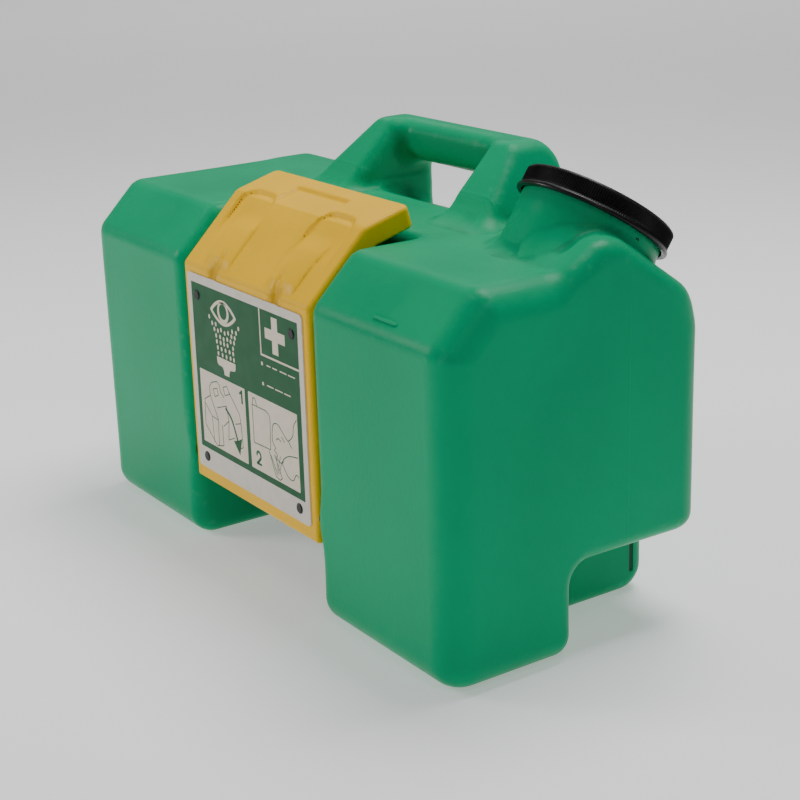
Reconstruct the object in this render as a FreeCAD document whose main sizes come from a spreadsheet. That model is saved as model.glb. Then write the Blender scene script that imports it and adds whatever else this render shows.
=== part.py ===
import FreeCAD, Part
import math
import os
import re

from FreeCAD import Placement, Rotation, Vector
import Sketcher

# Portable gravity-fed eyewash station.
# Frame: millimetres, +Z up, front faces -Y. The origin is on the floor, under the middle of the tank.

DIMENSIONS = [
    # alias, value (mm or degrees), meaning
    ("tank_width", 550.0, "tank, side to side"),
    ("tank_depth", 242.3, "tank, front to rear"),
    ("tank_top_z", 295.4, "height of the lobes' flat tops"),
    ("wall", 4.0, "wall of the blow-moulded tank"),
    ("chamfer_foot_z", 256.6, "where the front face turns into the 45 degree chamfer"),
    ("corner_radius", 24.0, "upright outer edges of the tank"),
    ("floor_radius", 22.0, "edges along the tank's underside"),
    ("crest_radius", 24.0, "edges along the tank's sides and top"),
    ("fold_radius", 14.0, "edges of the front chamfer"),
    ("inside_radius", 16.0, "hollow edges of the notches and the arch"),
    ("leg_rear_y", -6.35, "rear face of the front legs"),
    ("notch_top_z", 73.7, "ceiling of the rear corner notches and of the arch under the arm"),
    ("notch_width", 64.0, "rear corner notch, from the tank's side"),
    ("recess_half", 100.6, "half width of the recess that takes the arm"),
    ("recess_back_y", -64.0, "rear wall of the recess"),
    ("recess_knee_z", 215.0, "where the rear wall of the recess starts to lean back"),
    ("recess_lip_y", -20.0, "rear edge of the recess at the tank's top"),
    ("shoulder_gap", 14.0, "cap rim down to the sloping shoulder under it"),
    ("shoulder_from_x", 136.0, "left end of the sloping shoulder"),
    ("shoulder_foot_z", 212.0, "where the shoulder meets the rear face"),
    ("hump_left_x", 207.0, "left end of the ridge beside the neck"),
    ("hump_front_y", -13.0, "where the ridge beside the neck starts to rise"),
    ("hump_angle", 28.8, "rise of the ridge beside the neck"),
    ("hump_radius", 30.0, "top of the ridge beside the neck"),
    ("hump_edge_radius", 14.0, "right edge of the ridge beside the neck"),
    ("hump_top_z", 315.0, "where that edge's rounding starts from"),
    ("neck_x", 200.2, "centre of the cap's rim"),
    ("neck_y", 69.1, "centre of the cap's rim"),
    ("neck_z", 307.7, "centre of the cap's rim"),
    ("neck_tilt", 35.2, "lean of the neck, towards the rear"),
    ("neck_radius", 56.0, "outside of the neck"),
    ("mouth_radius", 50.0, "bore of the neck"),
    ("finish_radius", 54.5, "neck inside the cap"),
    ("mouth_rise", 13.7, "cap rim up to the neck's sealing edge"),
    ("vent_radius", 1.5, "air vent hole in the neck"),
    ("handle_half", 128.0, "half width of the handle at the tank's top"),
    ("handle_top_half", 96.0, "half width of the handle at its top"),
    ("handle_top_z", 352.0, "top of the hand bar"),
    ("handle_gap_half", 65.0, "half width of the finger gap"),
    ("bar_front_y", 85.0, "front of the hand bar"),
    ("bar_under_z", 316.0, "underside of the hand bar"),
    ("saddle_rear_z", 271.0, "tank's top under the hand bar, at the rear"),
    ("handle_radius", 11.0, "edges of the handle"),
    ("cap_radius", 60.0, "cap's ribbed wall"),
    ("cap_bead_radius", 61.5, "cap's lower bead"),
    ("cap_bore", 57.5, "inside of the cap's wall"),
    ("cap_height", 17.7, "cap"),
    ("liner_thickness", 1.5, "foam liner in the cap"),
    ("arm_half", 98.5, "half width of the arm"),
    ("arm_front_y", -119.0, "front face of the arm"),
    ("arm_bottom_z", 62.0, "lower edge of the arm"),
    ("slope_foot_z", 253.8, "where the arm's face folds into its slope"),
    ("slope_length", 75.66, "sloping panel of the arm"),
    ("slope_angle", 44.79, "rise of the sloping panel"),
    ("flange_length", 43.72, "pull flange at the arm's free end"),
    ("flange_angle", 15.66, "rise of the pull flange"),
    ("arm_wall", 3.5, "wall of the arm's shell"),
    ("skirt_depth", 18.0, "skirt round the arm's shell"),
    ("hinge_y", -108.0, "hinge axis"),
    ("hinge_z", 84.0, "hinge axis"),
    ("pin_radius", 4.0, "hinge pin's shank"),
    ("pin_clearance", 0.05, "running clearance of the hinge, on the radius"),
    ("bush_radius", 6.5, "outside of the hinge bush"),
    ("boss_radius", 9.0, "hinge boss in the arm's skirt"),
    ("boss_inner_x", 85.0, "inner end of the hinge boss"),
    ("insert_radius", 7.0, "threaded insert in the tank"),
    ("insert_length", 12.0, "threaded insert in the tank"),
    ("placard_half", 90.8, "half width of the placard"),
    ("placard_low_z", 74.7, "lower edge of the placard"),
    ("placard_high_z", 247.0, "upper edge of the placard"),
    ("placard_thickness", 1.2, "placard"),
    ("placard_radius", 4.0, "corners of the placard"),
    ("rivet_x", 75.3, "rivets, from the middle of the placard"),
    ("rivet_low_z", 86.0, "lower rivets"),
    ("rivet_high_z", 229.0, "upper rivets"),
    ("rivet_shank", 2.5, "rivet's shank radius"),
    ("rivet_head", 4.4, "rivet's head radius"),
    ("hose_x", 48.0, "hoses, nozzles and outlets, from the middle"),
    ("hose_radius", 7.5, "outside of the hose"),
    ("hose_bore", 5.05, "inside of the hose"),
    ("outlet_z", 28.0, "centre of the outlets"),
    ("outlet_radius", 9.0, "thread of the outlet fitting"),
    ("nozzle_radius", 12.0, "spray head"),
    ("nozzle_reach", 24.0, "spray head, from the arm's slope to its spray face"),
    ("inlet_y", -83.8, "lower end of the spray head's hose spigot"),
    ("inlet_z", 252.0, "shoulder of the spray head's hose spigot"),
    ("panel_half", 84.0, "half width of the arm's inner panel"),
    ("panel_low_z", 104.0, "lower edge of the inner panel"),
    ("panel_high_z", 218.0, "upper edge of the inner panel"),
    ("panel_y", -80.0, "front face of the inner panel"),
    ("panel_thickness", 2.5, "inner panel"),
    ("panel_screw_x", 76.0, "inner panel's screws"),
    ("panel_screw_inset", 10.0, "inner panel's screws, from its upper and lower edges"),
    ("bumper_radius", 9.0, "rubber bumper that rests on the tank"),
    ("bumper_x", 60.0, "bumpers, from the middle"),
    ("bumper_z", 190.0, "bumpers"),
    ("face_gap", 0.3, "gap between faces that only come close"),
]
ALIASES = {row[0] for row in DIMENSIONS}
SIDES = (("left", -1), ("right", 1))
SCREW_OFFSETS = (-15, 15)

doc = FreeCAD.newDocument("eyewash_station")
sheet = doc.addObject("Spreadsheet::Sheet", "Sheet")
for line, (alias, amount, meaning) in enumerate(DIMENSIONS, start=1):
    sheet.set(f"A{line}", meaning)
    sheet.set(f"B{line}", str(amount))
    sheet.setAlias(f"B{line}", alias)
doc.recompute()

nodes = {}


def size(alias):
    """Value of one driving dimension."""
    return float(sheet.get(alias))


def sheet_word(match):
    """Name of a dimension as the sheet's own cell; any other word, such as sin, stays."""
    word = match.group()
    return f"Sheet.{word}" if word in ALIASES else word


def bind(thing, prop, formula):
    """Drive a property by a formula whose words are driving dimensions."""
    thing.setExpression(prop, re.sub(r"[a-z_]+", sheet_word, str(formula)))


def place(thing, x=0, y=0, z=0, turn_axis=None, turn=0):
    """Put an object at a bound position, turned about one axis through it."""
    axis = Vector(*turn_axis) if turn_axis else Vector(0, 0, 1)
    thing.Placement = Placement(Vector(0, 0, 0), Rotation(axis, 0 if isinstance(turn, str) else turn))
    for letter, formula in zip("xyz", (x, y, z)):
        bind(thing, f"Placement.Base.{letter}", formula)
    if isinstance(turn, str):
        thing.Placement = Placement(Vector(0, 0, 0), Rotation(axis, 1))
        bind(thing, "Placement.Rotation.Angle", turn)
    return thing


def keep(node, thing):
    """Name an object as a finished sub-part."""
    thing.Label = node
    nodes[node] = thing
    return thing


def outline(body, plane, corners, start=0):
    """Closed straight-sided sketch on one origin plane; each corner is a pair of formulas."""
    sketch = body.newObject("Sketcher::SketchObject", f"{body.Name}_outline")
    support = [f for f in body.Origin.OriginFeatures if f.Role == f"{plane}_Plane"][0]
    sketch.AttachmentSupport = [(support, "")]
    sketch.MapMode = "FlatFace"
    bind(sketch, "AttachmentOffset.Base.z", start)
    count = len(corners)
    ring = [Vector(10 * math.cos(2 * math.pi * i / count), 10 * math.sin(2 * math.pi * i / count), 0)
            for i in range(count)]
    for i in range(count):
        sketch.addGeometry(Part.LineSegment(ring[i], ring[(i + 1) % count]), False)
    for i in range(count):
        sketch.addConstraint(Sketcher.Constraint("Coincident", i, 2, (i + 1) % count, 1))
    for i, (along, up) in enumerate(corners):
        for kind, formula in (("DistanceX", along), ("DistanceY", up)):
            index = sketch.addConstraint(Sketcher.Constraint(kind, -1, 1, i, 1, 1.0))
            bind(sketch, f"Constraints[{index}]", formula)
    return sketch


def prism(name, plane, corners, start, length, rounds=()):
    """Straight extrusion of an outline; rounds are (corner numbers, radius) for its long edges."""
    body = doc.addObject("PartDesign::Body", name)
    sketch = outline(body, plane, corners, start)
    pad = body.newObject("PartDesign::Pad", f"{name}_pad")
    pad.Profile = sketch
    bind(pad, "Length", length)
    doc.recompute()
    along = sketch.Placement.Rotation.multVec(Vector(0, 0, 1))
    feature = pad
    for numbers, radius in rounds:
        spots = [sketch.Placement.multVec(sketch.Geometry[i].StartPoint) for i in numbers]
        edges = []
        for number, edge in enumerate(feature.Shape.Edges, start=1):
            ends = [v.Point for v in edge.Vertexes]
            if len(ends) == 2 and (ends[1] - ends[0]).cross(along).Length < 1e-6:
                if any((ends[0] - spot).cross(along).Length < 1e-6 for spot in spots):
                    edges.append(f"Edge{number}")
        fillet = body.newObject("PartDesign::Fillet", f"{name}_fillet")
        fillet.Base = (feature, edges)
        bind(fillet, "Radius", radius)
        feature = fillet
        body.Tip = fillet
        doc.recompute()
    return body


def turned(name, corners):
    """Solid of revolution about its own Z axis; each corner is (radius, height)."""
    body = doc.addObject("PartDesign::Body", name)
    sketch = outline(body, "XZ", corners)
    revolution = body.newObject("PartDesign::Revolution", f"{name}_turn")
    revolution.Profile = sketch
    revolution.ReferenceAxis = (sketch, ["V_Axis"])
    revolution.Angle = 360
    return body


def cylinder(name, radius, length):
    """Cylinder along its own Z axis."""
    thing = doc.addObject("Part::Cylinder", name)
    bind(thing, "Radius", radius)
    bind(thing, "Height", length)
    return thing


def box(name, low, lengths):
    """Box from its lowest corner."""
    thing = doc.addObject("Part::Box", name)
    for prop, formula in zip(("Length", "Width", "Height"), lengths):
        bind(thing, prop, formula)
    return place(thing, *low)


def fuse(name, shapes):
    thing = doc.addObject("Part::MultiFuse", name)
    thing.Shapes = shapes
    return thing


def common(name, shapes):
    thing = doc.addObject("Part::MultiCommon", name)
    thing.Shapes = shapes
    return thing


def cut(name, base, tools):
    thing = doc.addObject("Part::Cut", name)
    thing.Base = base
    thing.Tool = tools[0] if len(tools) == 1 else fuse(f"{name}_tools", tools)
    return thing


def group(name, shapes):
    thing = doc.addObject("Part::Compound", name)
    thing.Links = shapes
    return thing


# ---------------------------------------------------------------- tank

def tank_form(name, inset):
    """Tank's outer form, or its hollow when inset is the wall: block, handle and neck, less the cut-aways."""
    half = f"tank_width / 2 - {inset}"
    front = f"-tank_depth / 2 + {inset}"
    rear = f"tank_depth / 2 - {inset}"
    low = f"{inset}"
    high = f"tank_top_z - {inset}"
    lean = f"{inset} * tan(22.5)"
    side = prism(f"{name}_side", "YZ",
                 [(front, low), (rear, low), (rear, high),
                  (f"-tank_depth / 2 + tank_top_z - chamfer_foot_z + {lean}", high),
                  (front, f"chamfer_foot_z - {lean}")],
                 f"-({half})", f"2 * ({half})",
                 [((0, 1), f"floor_radius - {inset}"), ((2,), f"crest_radius - {inset}"),
                  ((3, 4), f"fold_radius - {inset}")])
    plan = prism(f"{name}_plan", "XY",
                 [(f"-({half})", front), (half, front), (half, rear), (f"-({half})", rear)],
                 low, f"tank_top_z - 2 * {inset}", [((0, 1, 2, 3), f"corner_radius - {inset}")])
    face = prism(f"{name}_face", "XZ",
                 [(f"-({half})", low), (half, low), (half, high), (f"-({half})", high)],
                 f"-({rear})", f"tank_depth - 2 * {inset}",
                 [((0, 1), f"floor_radius - {inset}"), ((2, 3), f"crest_radius - {inset}")])
    block = common(f"{name}_block", [side, plan, face])
    trimmed = cut(f"{name}_trimmed", block, [recess_tool(name, inset), shoulder_tool(name, inset)]
                  + notch_tools(name, inset))
    handle = cut(f"{name}_handle", handle_form(name, inset), [finger_tool(name, inset)])
    parts = [trimmed, handle, neck_form(name, inset), hump_form(name, inset)]
    return cut(name, fuse(f"{name}_body", parts), [saddle_tool(name, inset)])


def recess_tool(name, inset):
    """What the arm's recess and the arch under it take out of the tank."""
    back = f"recess_back_y + {inset}"
    knee = f"recess_knee_z - {inset} * tan(22.5)"
    corners = [("-tank_depth", "-wall"), (f"leg_rear_y + {inset}", "-wall"),
               (f"leg_rear_y + {inset}", f"notch_top_z + {inset}"), (back, f"notch_top_z + {inset}"),
               (back, knee), (f"recess_lip_y + {inset}", f"{knee} + recess_lip_y - recess_back_y"),
               (f"recess_lip_y + {inset}", "tank_top_z + 2 * wall"), ("-tank_depth", "tank_top_z + 2 * wall")]
    return prism(f"{name}_recess", "YZ", corners, f"-recess_half - {inset}", f"2 * (recess_half + {inset})",
                 [((2,), f"inside_radius + {inset}")])


def notch_tools(name, inset):
    """Rear corner notches, which sit on the arms of a wall bracket."""
    tools = []
    front = f"leg_rear_y - {inset}"
    ceiling = f"notch_top_z + {inset}"
    starts = {"left": "-tank_width / 2 - wall", "right": f"tank_width / 2 - notch_width - {inset}"}
    for side, start in starts.items():
        corners = [(front, "-wall"), ("tank_depth", "-wall"), ("tank_depth", ceiling), (front, ceiling)]
        tools.append(prism(f"{name}_{side}_notch", "YZ", corners, start, f"notch_width + wall + {inset}",
                           [((3,), f"inside_radius + {inset}")]))
    return tools


def shoulder_top_y():
    """Where the slope behind the neck reaches the height of the tank's top."""
    return "(neck_y + (-shoulder_gap - (tank_top_z - neck_z) * cos(neck_tilt)) / sin(neck_tilt))"


def shoulder_tool(name, inset):
    """Slope behind the neck, square to the neck's axis, and the curve down to the rear face."""
    top_y = shoulder_top_y()
    fall = "tan(neck_tilt)"
    knee_y = "tank_depth / 2 - 26"
    drop = f"{inset} / cos(neck_tilt)"
    corners = [(f"{top_y} - 20 - {drop} / {fall}", f"tank_top_z + 20 * {fall}"),
               (knee_y, f"tank_top_z - ({knee_y} - ({top_y})) * {fall} - {drop}"),
               (f"tank_depth / 2 - {inset}", f"shoulder_foot_z - {inset}"),
               ("tank_depth", "shoulder_foot_z - 8"), ("tank_depth", "tank_top_z + 60"),
               (f"{top_y} - 20 - {drop} / {fall}", "tank_top_z + 60")]
    return prism(f"{name}_shoulder", "YZ", corners, f"shoulder_from_x + {inset}", "tank_width / 2")


def hump_form(name, inset):
    """Ridge beside the neck: it rises from the lobe's top and falls with the slope behind the neck."""
    top_y = shoulder_top_y()
    rise = "tan(hump_angle)"
    fall = "tan(neck_tilt)"
    front = f"(hump_front_y + {inset})"
    front_z = f"(tank_top_z + {rise} * {inset} - {inset} / cos(hump_angle))"
    slope_z = f"(tank_top_z + {top_y} * {fall} - {inset} / cos(neck_tilt))"
    crest_y = f"(({slope_z} - {front_z} + {rise} * {front}) / ({rise} + {fall}))"
    rear = "(tank_depth / 2 - 26)"
    corners = [(front, "tank_top_z - 30"), (rear, "tank_top_z - 30"), (rear, f"{slope_z} - {rear} * {fall}"),
               (crest_y, f"{slope_z} - {crest_y} * {fall}"), (front, front_z)]
    ridge = prism(f"{name}_ridge", "YZ", corners, f"hump_left_x + {inset}",
                  f"tank_width / 2 - hump_left_x - 2 * {inset}", [((3,), f"hump_radius - {inset}")])
    left = f"hump_left_x + {inset}"
    right = f"tank_width / 2 - {inset}"
    high = f"hump_top_z - {inset}"
    face = prism(f"{name}_ridge_face", "XZ",
                 [(left, "tank_top_z - 35"), (right, "tank_top_z - 35"), (right, high), (left, high)],
                 "-tank_depth / 2", "tank_depth", [((2,), f"hump_edge_radius - {inset}")])
    return common(f"{name}_hump", [ridge, face])


def handle_form(name, inset):
    """Block that the handle is cut from: a wedge seen from the side, narrower at its top."""
    high = f"handle_top_z - {inset}"
    side = prism(f"{name}_handle_side", "YZ",
                 [(f"22 + 1.4 * {inset}", f"tank_top_z - 10"), (f"22 + 1.4 * {inset}", f"tank_top_z"),
                  (f"22 + handle_top_z - tank_top_z + 0.4 * {inset}", high),
                  (f"tank_depth / 2 - {inset}", high), (f"tank_depth / 2 - {inset}", "saddle_rear_z - 40"),
                  (f"tank_depth / 2 - 30", "saddle_rear_z - 40")],
                 f"-handle_half - 10", "2 * (handle_half + 10)",
                 [((2,), f"handle_radius - {inset}"), ((3,), f"2 * handle_radius - {inset}")])
    half = f"handle_half - {inset}"
    top_half = f"handle_top_half - {inset}"
    face = prism(f"{name}_handle_face", "XZ",
                 [(f"-({half})", "saddle_rear_z - 60"), (half, "saddle_rear_z - 60"), (half, "tank_top_z"),
                  (top_half, high), (f"-({top_half})", high), (f"-({half})", "tank_top_z")],
                 f"-tank_depth / 2 + {inset}", "tank_depth", [((3, 4), f"handle_radius - {inset}")])
    return common(f"{name}_handle_block", [side, face])


def finger_tool(name, inset):
    """Space between the handle's legs, in front of and under the hand bar."""
    corners = [("0", f"tank_top_z - {inset}"), ("tank_depth", f"tank_top_z - {inset}"),
               ("tank_depth", f"bar_under_z + {inset}"), (f"bar_front_y + {inset}", f"bar_under_z + {inset}"),
               (f"bar_front_y + {inset}", "handle_top_z + 20"), ("0", "handle_top_z + 20")]
    half = f"(handle_gap_half + {inset})"
    return prism(f"{name}_finger", "YZ", corners, f"-{half}", f"2 * {half}")


def saddle_tool(name, inset):
    """Fall of the tank's top between the handle's legs, towards the rear."""
    front = "tank_depth / 2 - 66"
    drop = f"1.1 * {inset}"
    rear = "tank_depth / 2 + 10"
    under = f"bar_under_z + {inset}"
    bar = f"bar_front_y + {inset}"
    corners = [(front, f"tank_top_z - {drop}"), (rear, f"saddle_rear_z - 3.7 - {drop}"), (rear, under),
               (bar, under), (bar, "tank_top_z + 1"), (front, "tank_top_z + 1")]
    half = f"(handle_gap_half + {inset})"
    return prism(f"{name}_saddle", "YZ", corners, f"-{half}", f"2 * {half}")


def neck_form(name, inset):
    """Leaning neck, with the narrower finish that the cap screws on; the hollow is its straight bore."""
    if inset == "0":
        neck = turned(f"{name}_neck", [("0", "-70"), ("neck_radius", "-70"), ("neck_radius", "-1.5"),
                                       ("finish_radius", "-1.5"), ("finish_radius", "mouth_rise"),
                                       ("0", "mouth_rise")])
    else:
        neck = turned(f"{name}_neck", [("0", "-74"), ("mouth_radius", "-74"),
                                       ("mouth_radius", "mouth_rise + 5"), ("0", "mouth_rise + 5")])
    return on_neck(neck)


def on_neck(thing):
    """Stand an object on the neck's axis, with its own zero at the cap's rim."""
    return place(thing, "neck_x", "neck_y", "neck_z", (-1, 0, 0), "neck_tilt")


def tank_shell():
    """Hollow tank with its outlet holes, vent hole and the blind bosses of the hinge inserts."""
    outer = tank_form("tank_outer", "0")
    hollow = tank_form("tank_hollow", "wall")
    bosses = []
    holes = []
    for side, sign in SIDES:
        turn_axis = (0, sign, 0)
        boss = cylinder(f"{side}_insert_boss", "insert_radius + wall", "insert_length + wall")
        bosses.append(place(boss, f"{sign} * recess_half", "hinge_y", "hinge_z", turn_axis, 90))
        pocket = cylinder(f"{side}_insert_pocket", "insert_radius", "insert_length + 1")
        holes.append(place(pocket, f"{sign} * (recess_half - 1)", "hinge_y", "hinge_z", turn_axis, 90))
        drain = cylinder(f"{side}_drain_hole", "outlet_radius + face_gap", "3 * wall")
        holes.append(place(drain, f"{sign} * hose_x", "leg_rear_y + 2 * wall", "outlet_z", (1, 0, 0), 90))
    vent = cylinder("vent_hole", "vent_radius", "20")
    place(vent, "neck_x + neck_radius - 14", "neck_y - 5 * sin(neck_tilt)", "neck_z - 5 * cos(neck_tilt)",
          (0, 1, 0), 90)
    shell = cut("tank_walls", outer, [cut("tank_space", hollow, bosses)] + holes + [vent])
    keep("tank_shell", shell)
    return hollow


# ---------------------------------------------------------------- outlets and hoses

def outlet_sets():
    """Bulkhead fitting, gasket, nut and strainer of each drain, with their axes along Y."""
    gaskets, nuts, strainers = [], [], []
    for side, sign in SIDES:
        at = (f"{sign} * hose_x", "leg_rear_y", "outlet_z", (1, 0, 0), 90)
        fitting = turned(f"{side}_fitting", [
            ("4", "30"), ("4.4", "30"), ("hose_bore - 0.05", "26"), ("hose_bore - 0.05", "6.5"), ("15", "6.5"),
            ("15", "1.5"), ("outlet_radius", "1.5"), ("outlet_radius", "-20"), ("4", "-20")])
        keep(f"{side}_outlet_fitting", place(fitting, *at))
        gasket = turned(f"{side}_gasket", [("outlet_radius + face_gap", "0"), ("14", "0"), ("14", "1.5"),
                                           ("outlet_radius + face_gap", "1.5")])
        gaskets.append(place(gasket, *at))
        blank = doc.addObject("Part::Prism", f"{side}_nut_blank")
        blank.Polygon = 6
        bind(blank, "Circumradius", "outlet_radius + 6.5")
        bind(blank, "Height", "6")
        place(blank, f"{sign} * hose_x", "leg_rear_y + wall + 6", "outlet_z", (1, 0, 0), 90)
        bore = place(cylinder(f"{side}_nut_bore", "outlet_radius", "20"),
                     f"{sign} * hose_x", "leg_rear_y + wall + 12", "outlet_z", (1, 0, 0), 90)
        nuts.append(cut(f"{side}_nut", blank, [bore]))
        cup = place(turned(f"{side}_strainer_cup", [
            ("outlet_radius", "-12.5"), ("outlet_radius + 1.6", "-12.5"), ("outlet_radius + 1.6", "-36"),
            ("0", "-36"), ("0", "-34.4"), ("outlet_radius", "-34.4")]), *at)
        slots = [box(f"{side}_strainer_slot_{i}", (f"{sign} * hose_x - 15", f"leg_rear_y + {22 + 4 * i}",
                                                   "outlet_z - 4"), ("30", "2", "8")) for i in range(3)]
        strainers.append(cut(f"{side}_strainer", cup, slots))
    keep("outlet_gaskets", group("gaskets", gaskets))
    keep("outlet_nuts", group("nuts", nuts))
    keep("outlet_strainers", group("strainers", strainers))


def rounded_path(points):
    """Straight runs joined by tangent arcs, each as large as 0.45 of its shorter run allows."""
    edges = []
    start = points[0]
    for before, corner, after in zip(points, points[1:], points[2:]):
        back = (before - corner).normalize()
        ahead = (after - corner).normalize()
        reach = 0.45 * min(before.distanceToPoint(corner), after.distanceToPoint(corner))
        half_turn = (math.pi - back.getAngle(ahead)) / 2
        radius = reach / math.tan(half_turn)
        print(f"hose bend radius {radius:.1f} mm, turn {math.degrees(2 * half_turn):.0f} degrees")
        first = corner + back * reach
        last = corner + ahead * reach
        middle = corner + (back + ahead).normalize() * (radius / math.cos(half_turn) - radius)
        edges.append(Part.LineSegment(start, first).toShape())
        edges.append(Part.Arc(first, middle, last).toShape())
        start = last
    edges.append(Part.LineSegment(start, points[-1]).toShape())
    return Part.Wire(edges)


def hoses():
    """Rubber hose from each outlet, through the hinge's axis and up the inside of the arm to its nozzle."""
    inlet_y = size("inlet_y")
    inlet_z = size("inlet_z")
    for side, sign in SIDES:
        x = sign * size("hose_x")
        root_y = size("leg_rear_y") - 8
        route = [(root_y, size("outlet_z")), (root_y - 32, size("outlet_z") + 1), (-80, 46), (-103, 72),
                 (size("hinge_y") + 3, 112), (size("hinge_y") + 5, 160), (-97, 208), (inlet_y, inlet_z - 16),
                 (inlet_y, inlet_z - 1.5)]
        path = rounded_path([Vector(x, y, z) for y, z in route])
        tube = []
        for radius in (size("hose_radius"), size("hose_bore")):
            ring = Part.Wire(Part.makeCircle(radius, Vector(x, *route[0]), Vector(0, -1, 0)))
            tube.append(path.makePipeShell([ring], True, True))
        shape = tube[0].cut(tube[1])
        ideal = math.pi * (size("hose_radius") ** 2 - size("hose_bore") ** 2) * path.Length
        print(f"{side} hose: {path.Length:.0f} mm long, volume {shape.Volume:.0f} of {ideal:.0f}")
        hose = doc.addObject("Part::Feature", f"{side}_tube")
        hose.Shape = shape
        keep(f"{side}_hose", hose)


def clamp(name, x, y, z, turn_axis=None, turn=0):
    """Band clamp: a ring round the hose and the housing of its screw."""
    ring = turned(f"{name}_band", [("hose_radius + 0.1", "0"), ("hose_radius + 1", "0"),
                                   ("hose_radius + 1", "8"), ("hose_radius + 0.1", "8")])
    lug = box(f"{name}_lug", ("-4", "hose_radius + 0.6", "0.5"), ("8", "4", "7"))
    return place(fuse(name, [ring, lug]), x, y, z, turn_axis, turn)


def hose_clamps():
    low = [clamp(f"{side}_low_clamp", f"{sign} * hose_x", "leg_rear_y - 16", "outlet_z", (1, 0, 0), 90)
           for side, sign in SIDES]
    high = [clamp(f"{side}_high_clamp", f"{sign} * hose_x", "inlet_y", "inlet_z - 10", (0, 0, 1), 180)
            for side, sign in SIDES]
    keep("tank_hose_clamps", group("low_clamps", low))
    keep("arm_hose_clamps", group("high_clamps", high))


# ---------------------------------------------------------------- arm

def arm_line(depth, reach):
    """Side view of the arm's face at a depth below its outside: foot of the slope, crest, free end.

    reach is how far the line runs past the flange's free edge.
    """
    share = "(1 + cos(slope_angle - flange_angle))"
    crest_y = "arm_front_y + slope_length * cos(slope_angle)"
    crest_z = "slope_foot_z + slope_length * sin(slope_angle)"
    return [
        (f"arm_front_y + {depth}", f"slope_foot_z - ({depth}) * tan((90 - slope_angle) / 2)"),
        (f"{crest_y} + ({depth}) * (sin(slope_angle) + sin(flange_angle)) / {share}",
         f"{crest_z} - ({depth}) * (cos(slope_angle) + cos(flange_angle)) / {share}"),
        (f"{crest_y} + (flange_length + {reach}) * cos(flange_angle) + ({depth}) * sin(flange_angle)",
         f"{crest_z} + (flange_length + {reach}) * sin(flange_angle) - ({depth}) * cos(flange_angle)"),
    ]


def arm_layer(name, outside, inside, margin, reach, rounds=()):
    """Solid between two depths of the arm's face, inset by a margin at its sides and lower edge."""
    over = arm_line(outside, reach)
    under = arm_line(inside, reach)
    corners = ([(f"arm_front_y + {outside}", f"arm_bottom_z + {margin}")] + over + under[::-1]
               + [(f"arm_front_y + {inside}", f"arm_bottom_z + {margin}")])
    half = f"(arm_half - {margin})"
    return prism(name, "YZ", corners, f"-{half}", f"2 * {half}", rounds)


def slope_middle(depth):
    """Middle of the arm's slope in the side view, at a depth below its outside."""
    return (f"arm_front_y + slope_length / 2 * cos(slope_angle) + ({depth}) * sin(slope_angle)",
            f"slope_foot_z + slope_length / 2 * sin(slope_angle) - ({depth}) * cos(slope_angle)")


def arm_shell():
    """Arm: a folded panel with a skirt all round, hinge bosses, screw bosses and hose notches."""
    skin = arm_layer("arm_skin", "0", "skirt_depth", "0", "0",
                     [((0,), "6"), ((1, 2), "8"), ((3,), "5")])
    space = arm_layer("arm_space", "arm_wall", "skirt_depth + 20", "arm_wall", "20")
    solids = [cut("arm_tray", skin, [space])]
    tools = []
    for side, sign in SIDES:
        turn_axis = (0, sign, 0)
        boss = cylinder(f"{side}_hinge_boss", "boss_radius", "arm_half - boss_inner_x")
        solids.append(place(boss, f"{sign} * boss_inner_x", "hinge_y", "hinge_z", turn_axis, 90))
        bore = cylinder(f"{side}_hinge_bore", "bush_radius", "arm_half")
        tools.append(place(bore, f"{sign} * 60", "hinge_y", "hinge_z", turn_axis, 90))
        tools.append(box(f"{side}_hose_notch", (f"{sign} * hose_x - hose_radius - 3", "arm_front_y + arm_wall",
                                                "arm_bottom_z - 1"),
                         ("2 * hose_radius + 6", "skirt_depth", "arm_wall + 2")))
    for i, (x, z) in enumerate(panel_screw_places()):
        post = cylinder(f"screw_post_{i}", "5", "panel_y - arm_front_y - arm_wall / 2")
        solids.append(place(post, x, "panel_y", z, (1, 0, 0), 90))
        tools.append(place(cylinder(f"screw_pilot_{i}", "1.6", "14"), x, "panel_y", z, (1, 0, 0), 90))
    for i, (x, z) in enumerate(rivet_places()):
        hole = cylinder(f"rivet_hole_{i}", "rivet_shank + 0.02", "10")
        tools.append(place(hole, x, "arm_front_y + 8", z, (1, 0, 0), 90))
    keep("arm_shell", cut("arm_panel", fuse("arm_solid", solids), tools))


def panel_screw_places():
    return [(f"{sign} * panel_screw_x", z) for _, sign in SIDES
            for z in ("panel_low_z + panel_screw_inset", "panel_high_z - panel_screw_inset")]


def rivet_places():
    return [(f"{sign} * rivet_x", z) for _, sign in SIDES
            for z in ("rivet_low_z", "rivet_high_z")]


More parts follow.
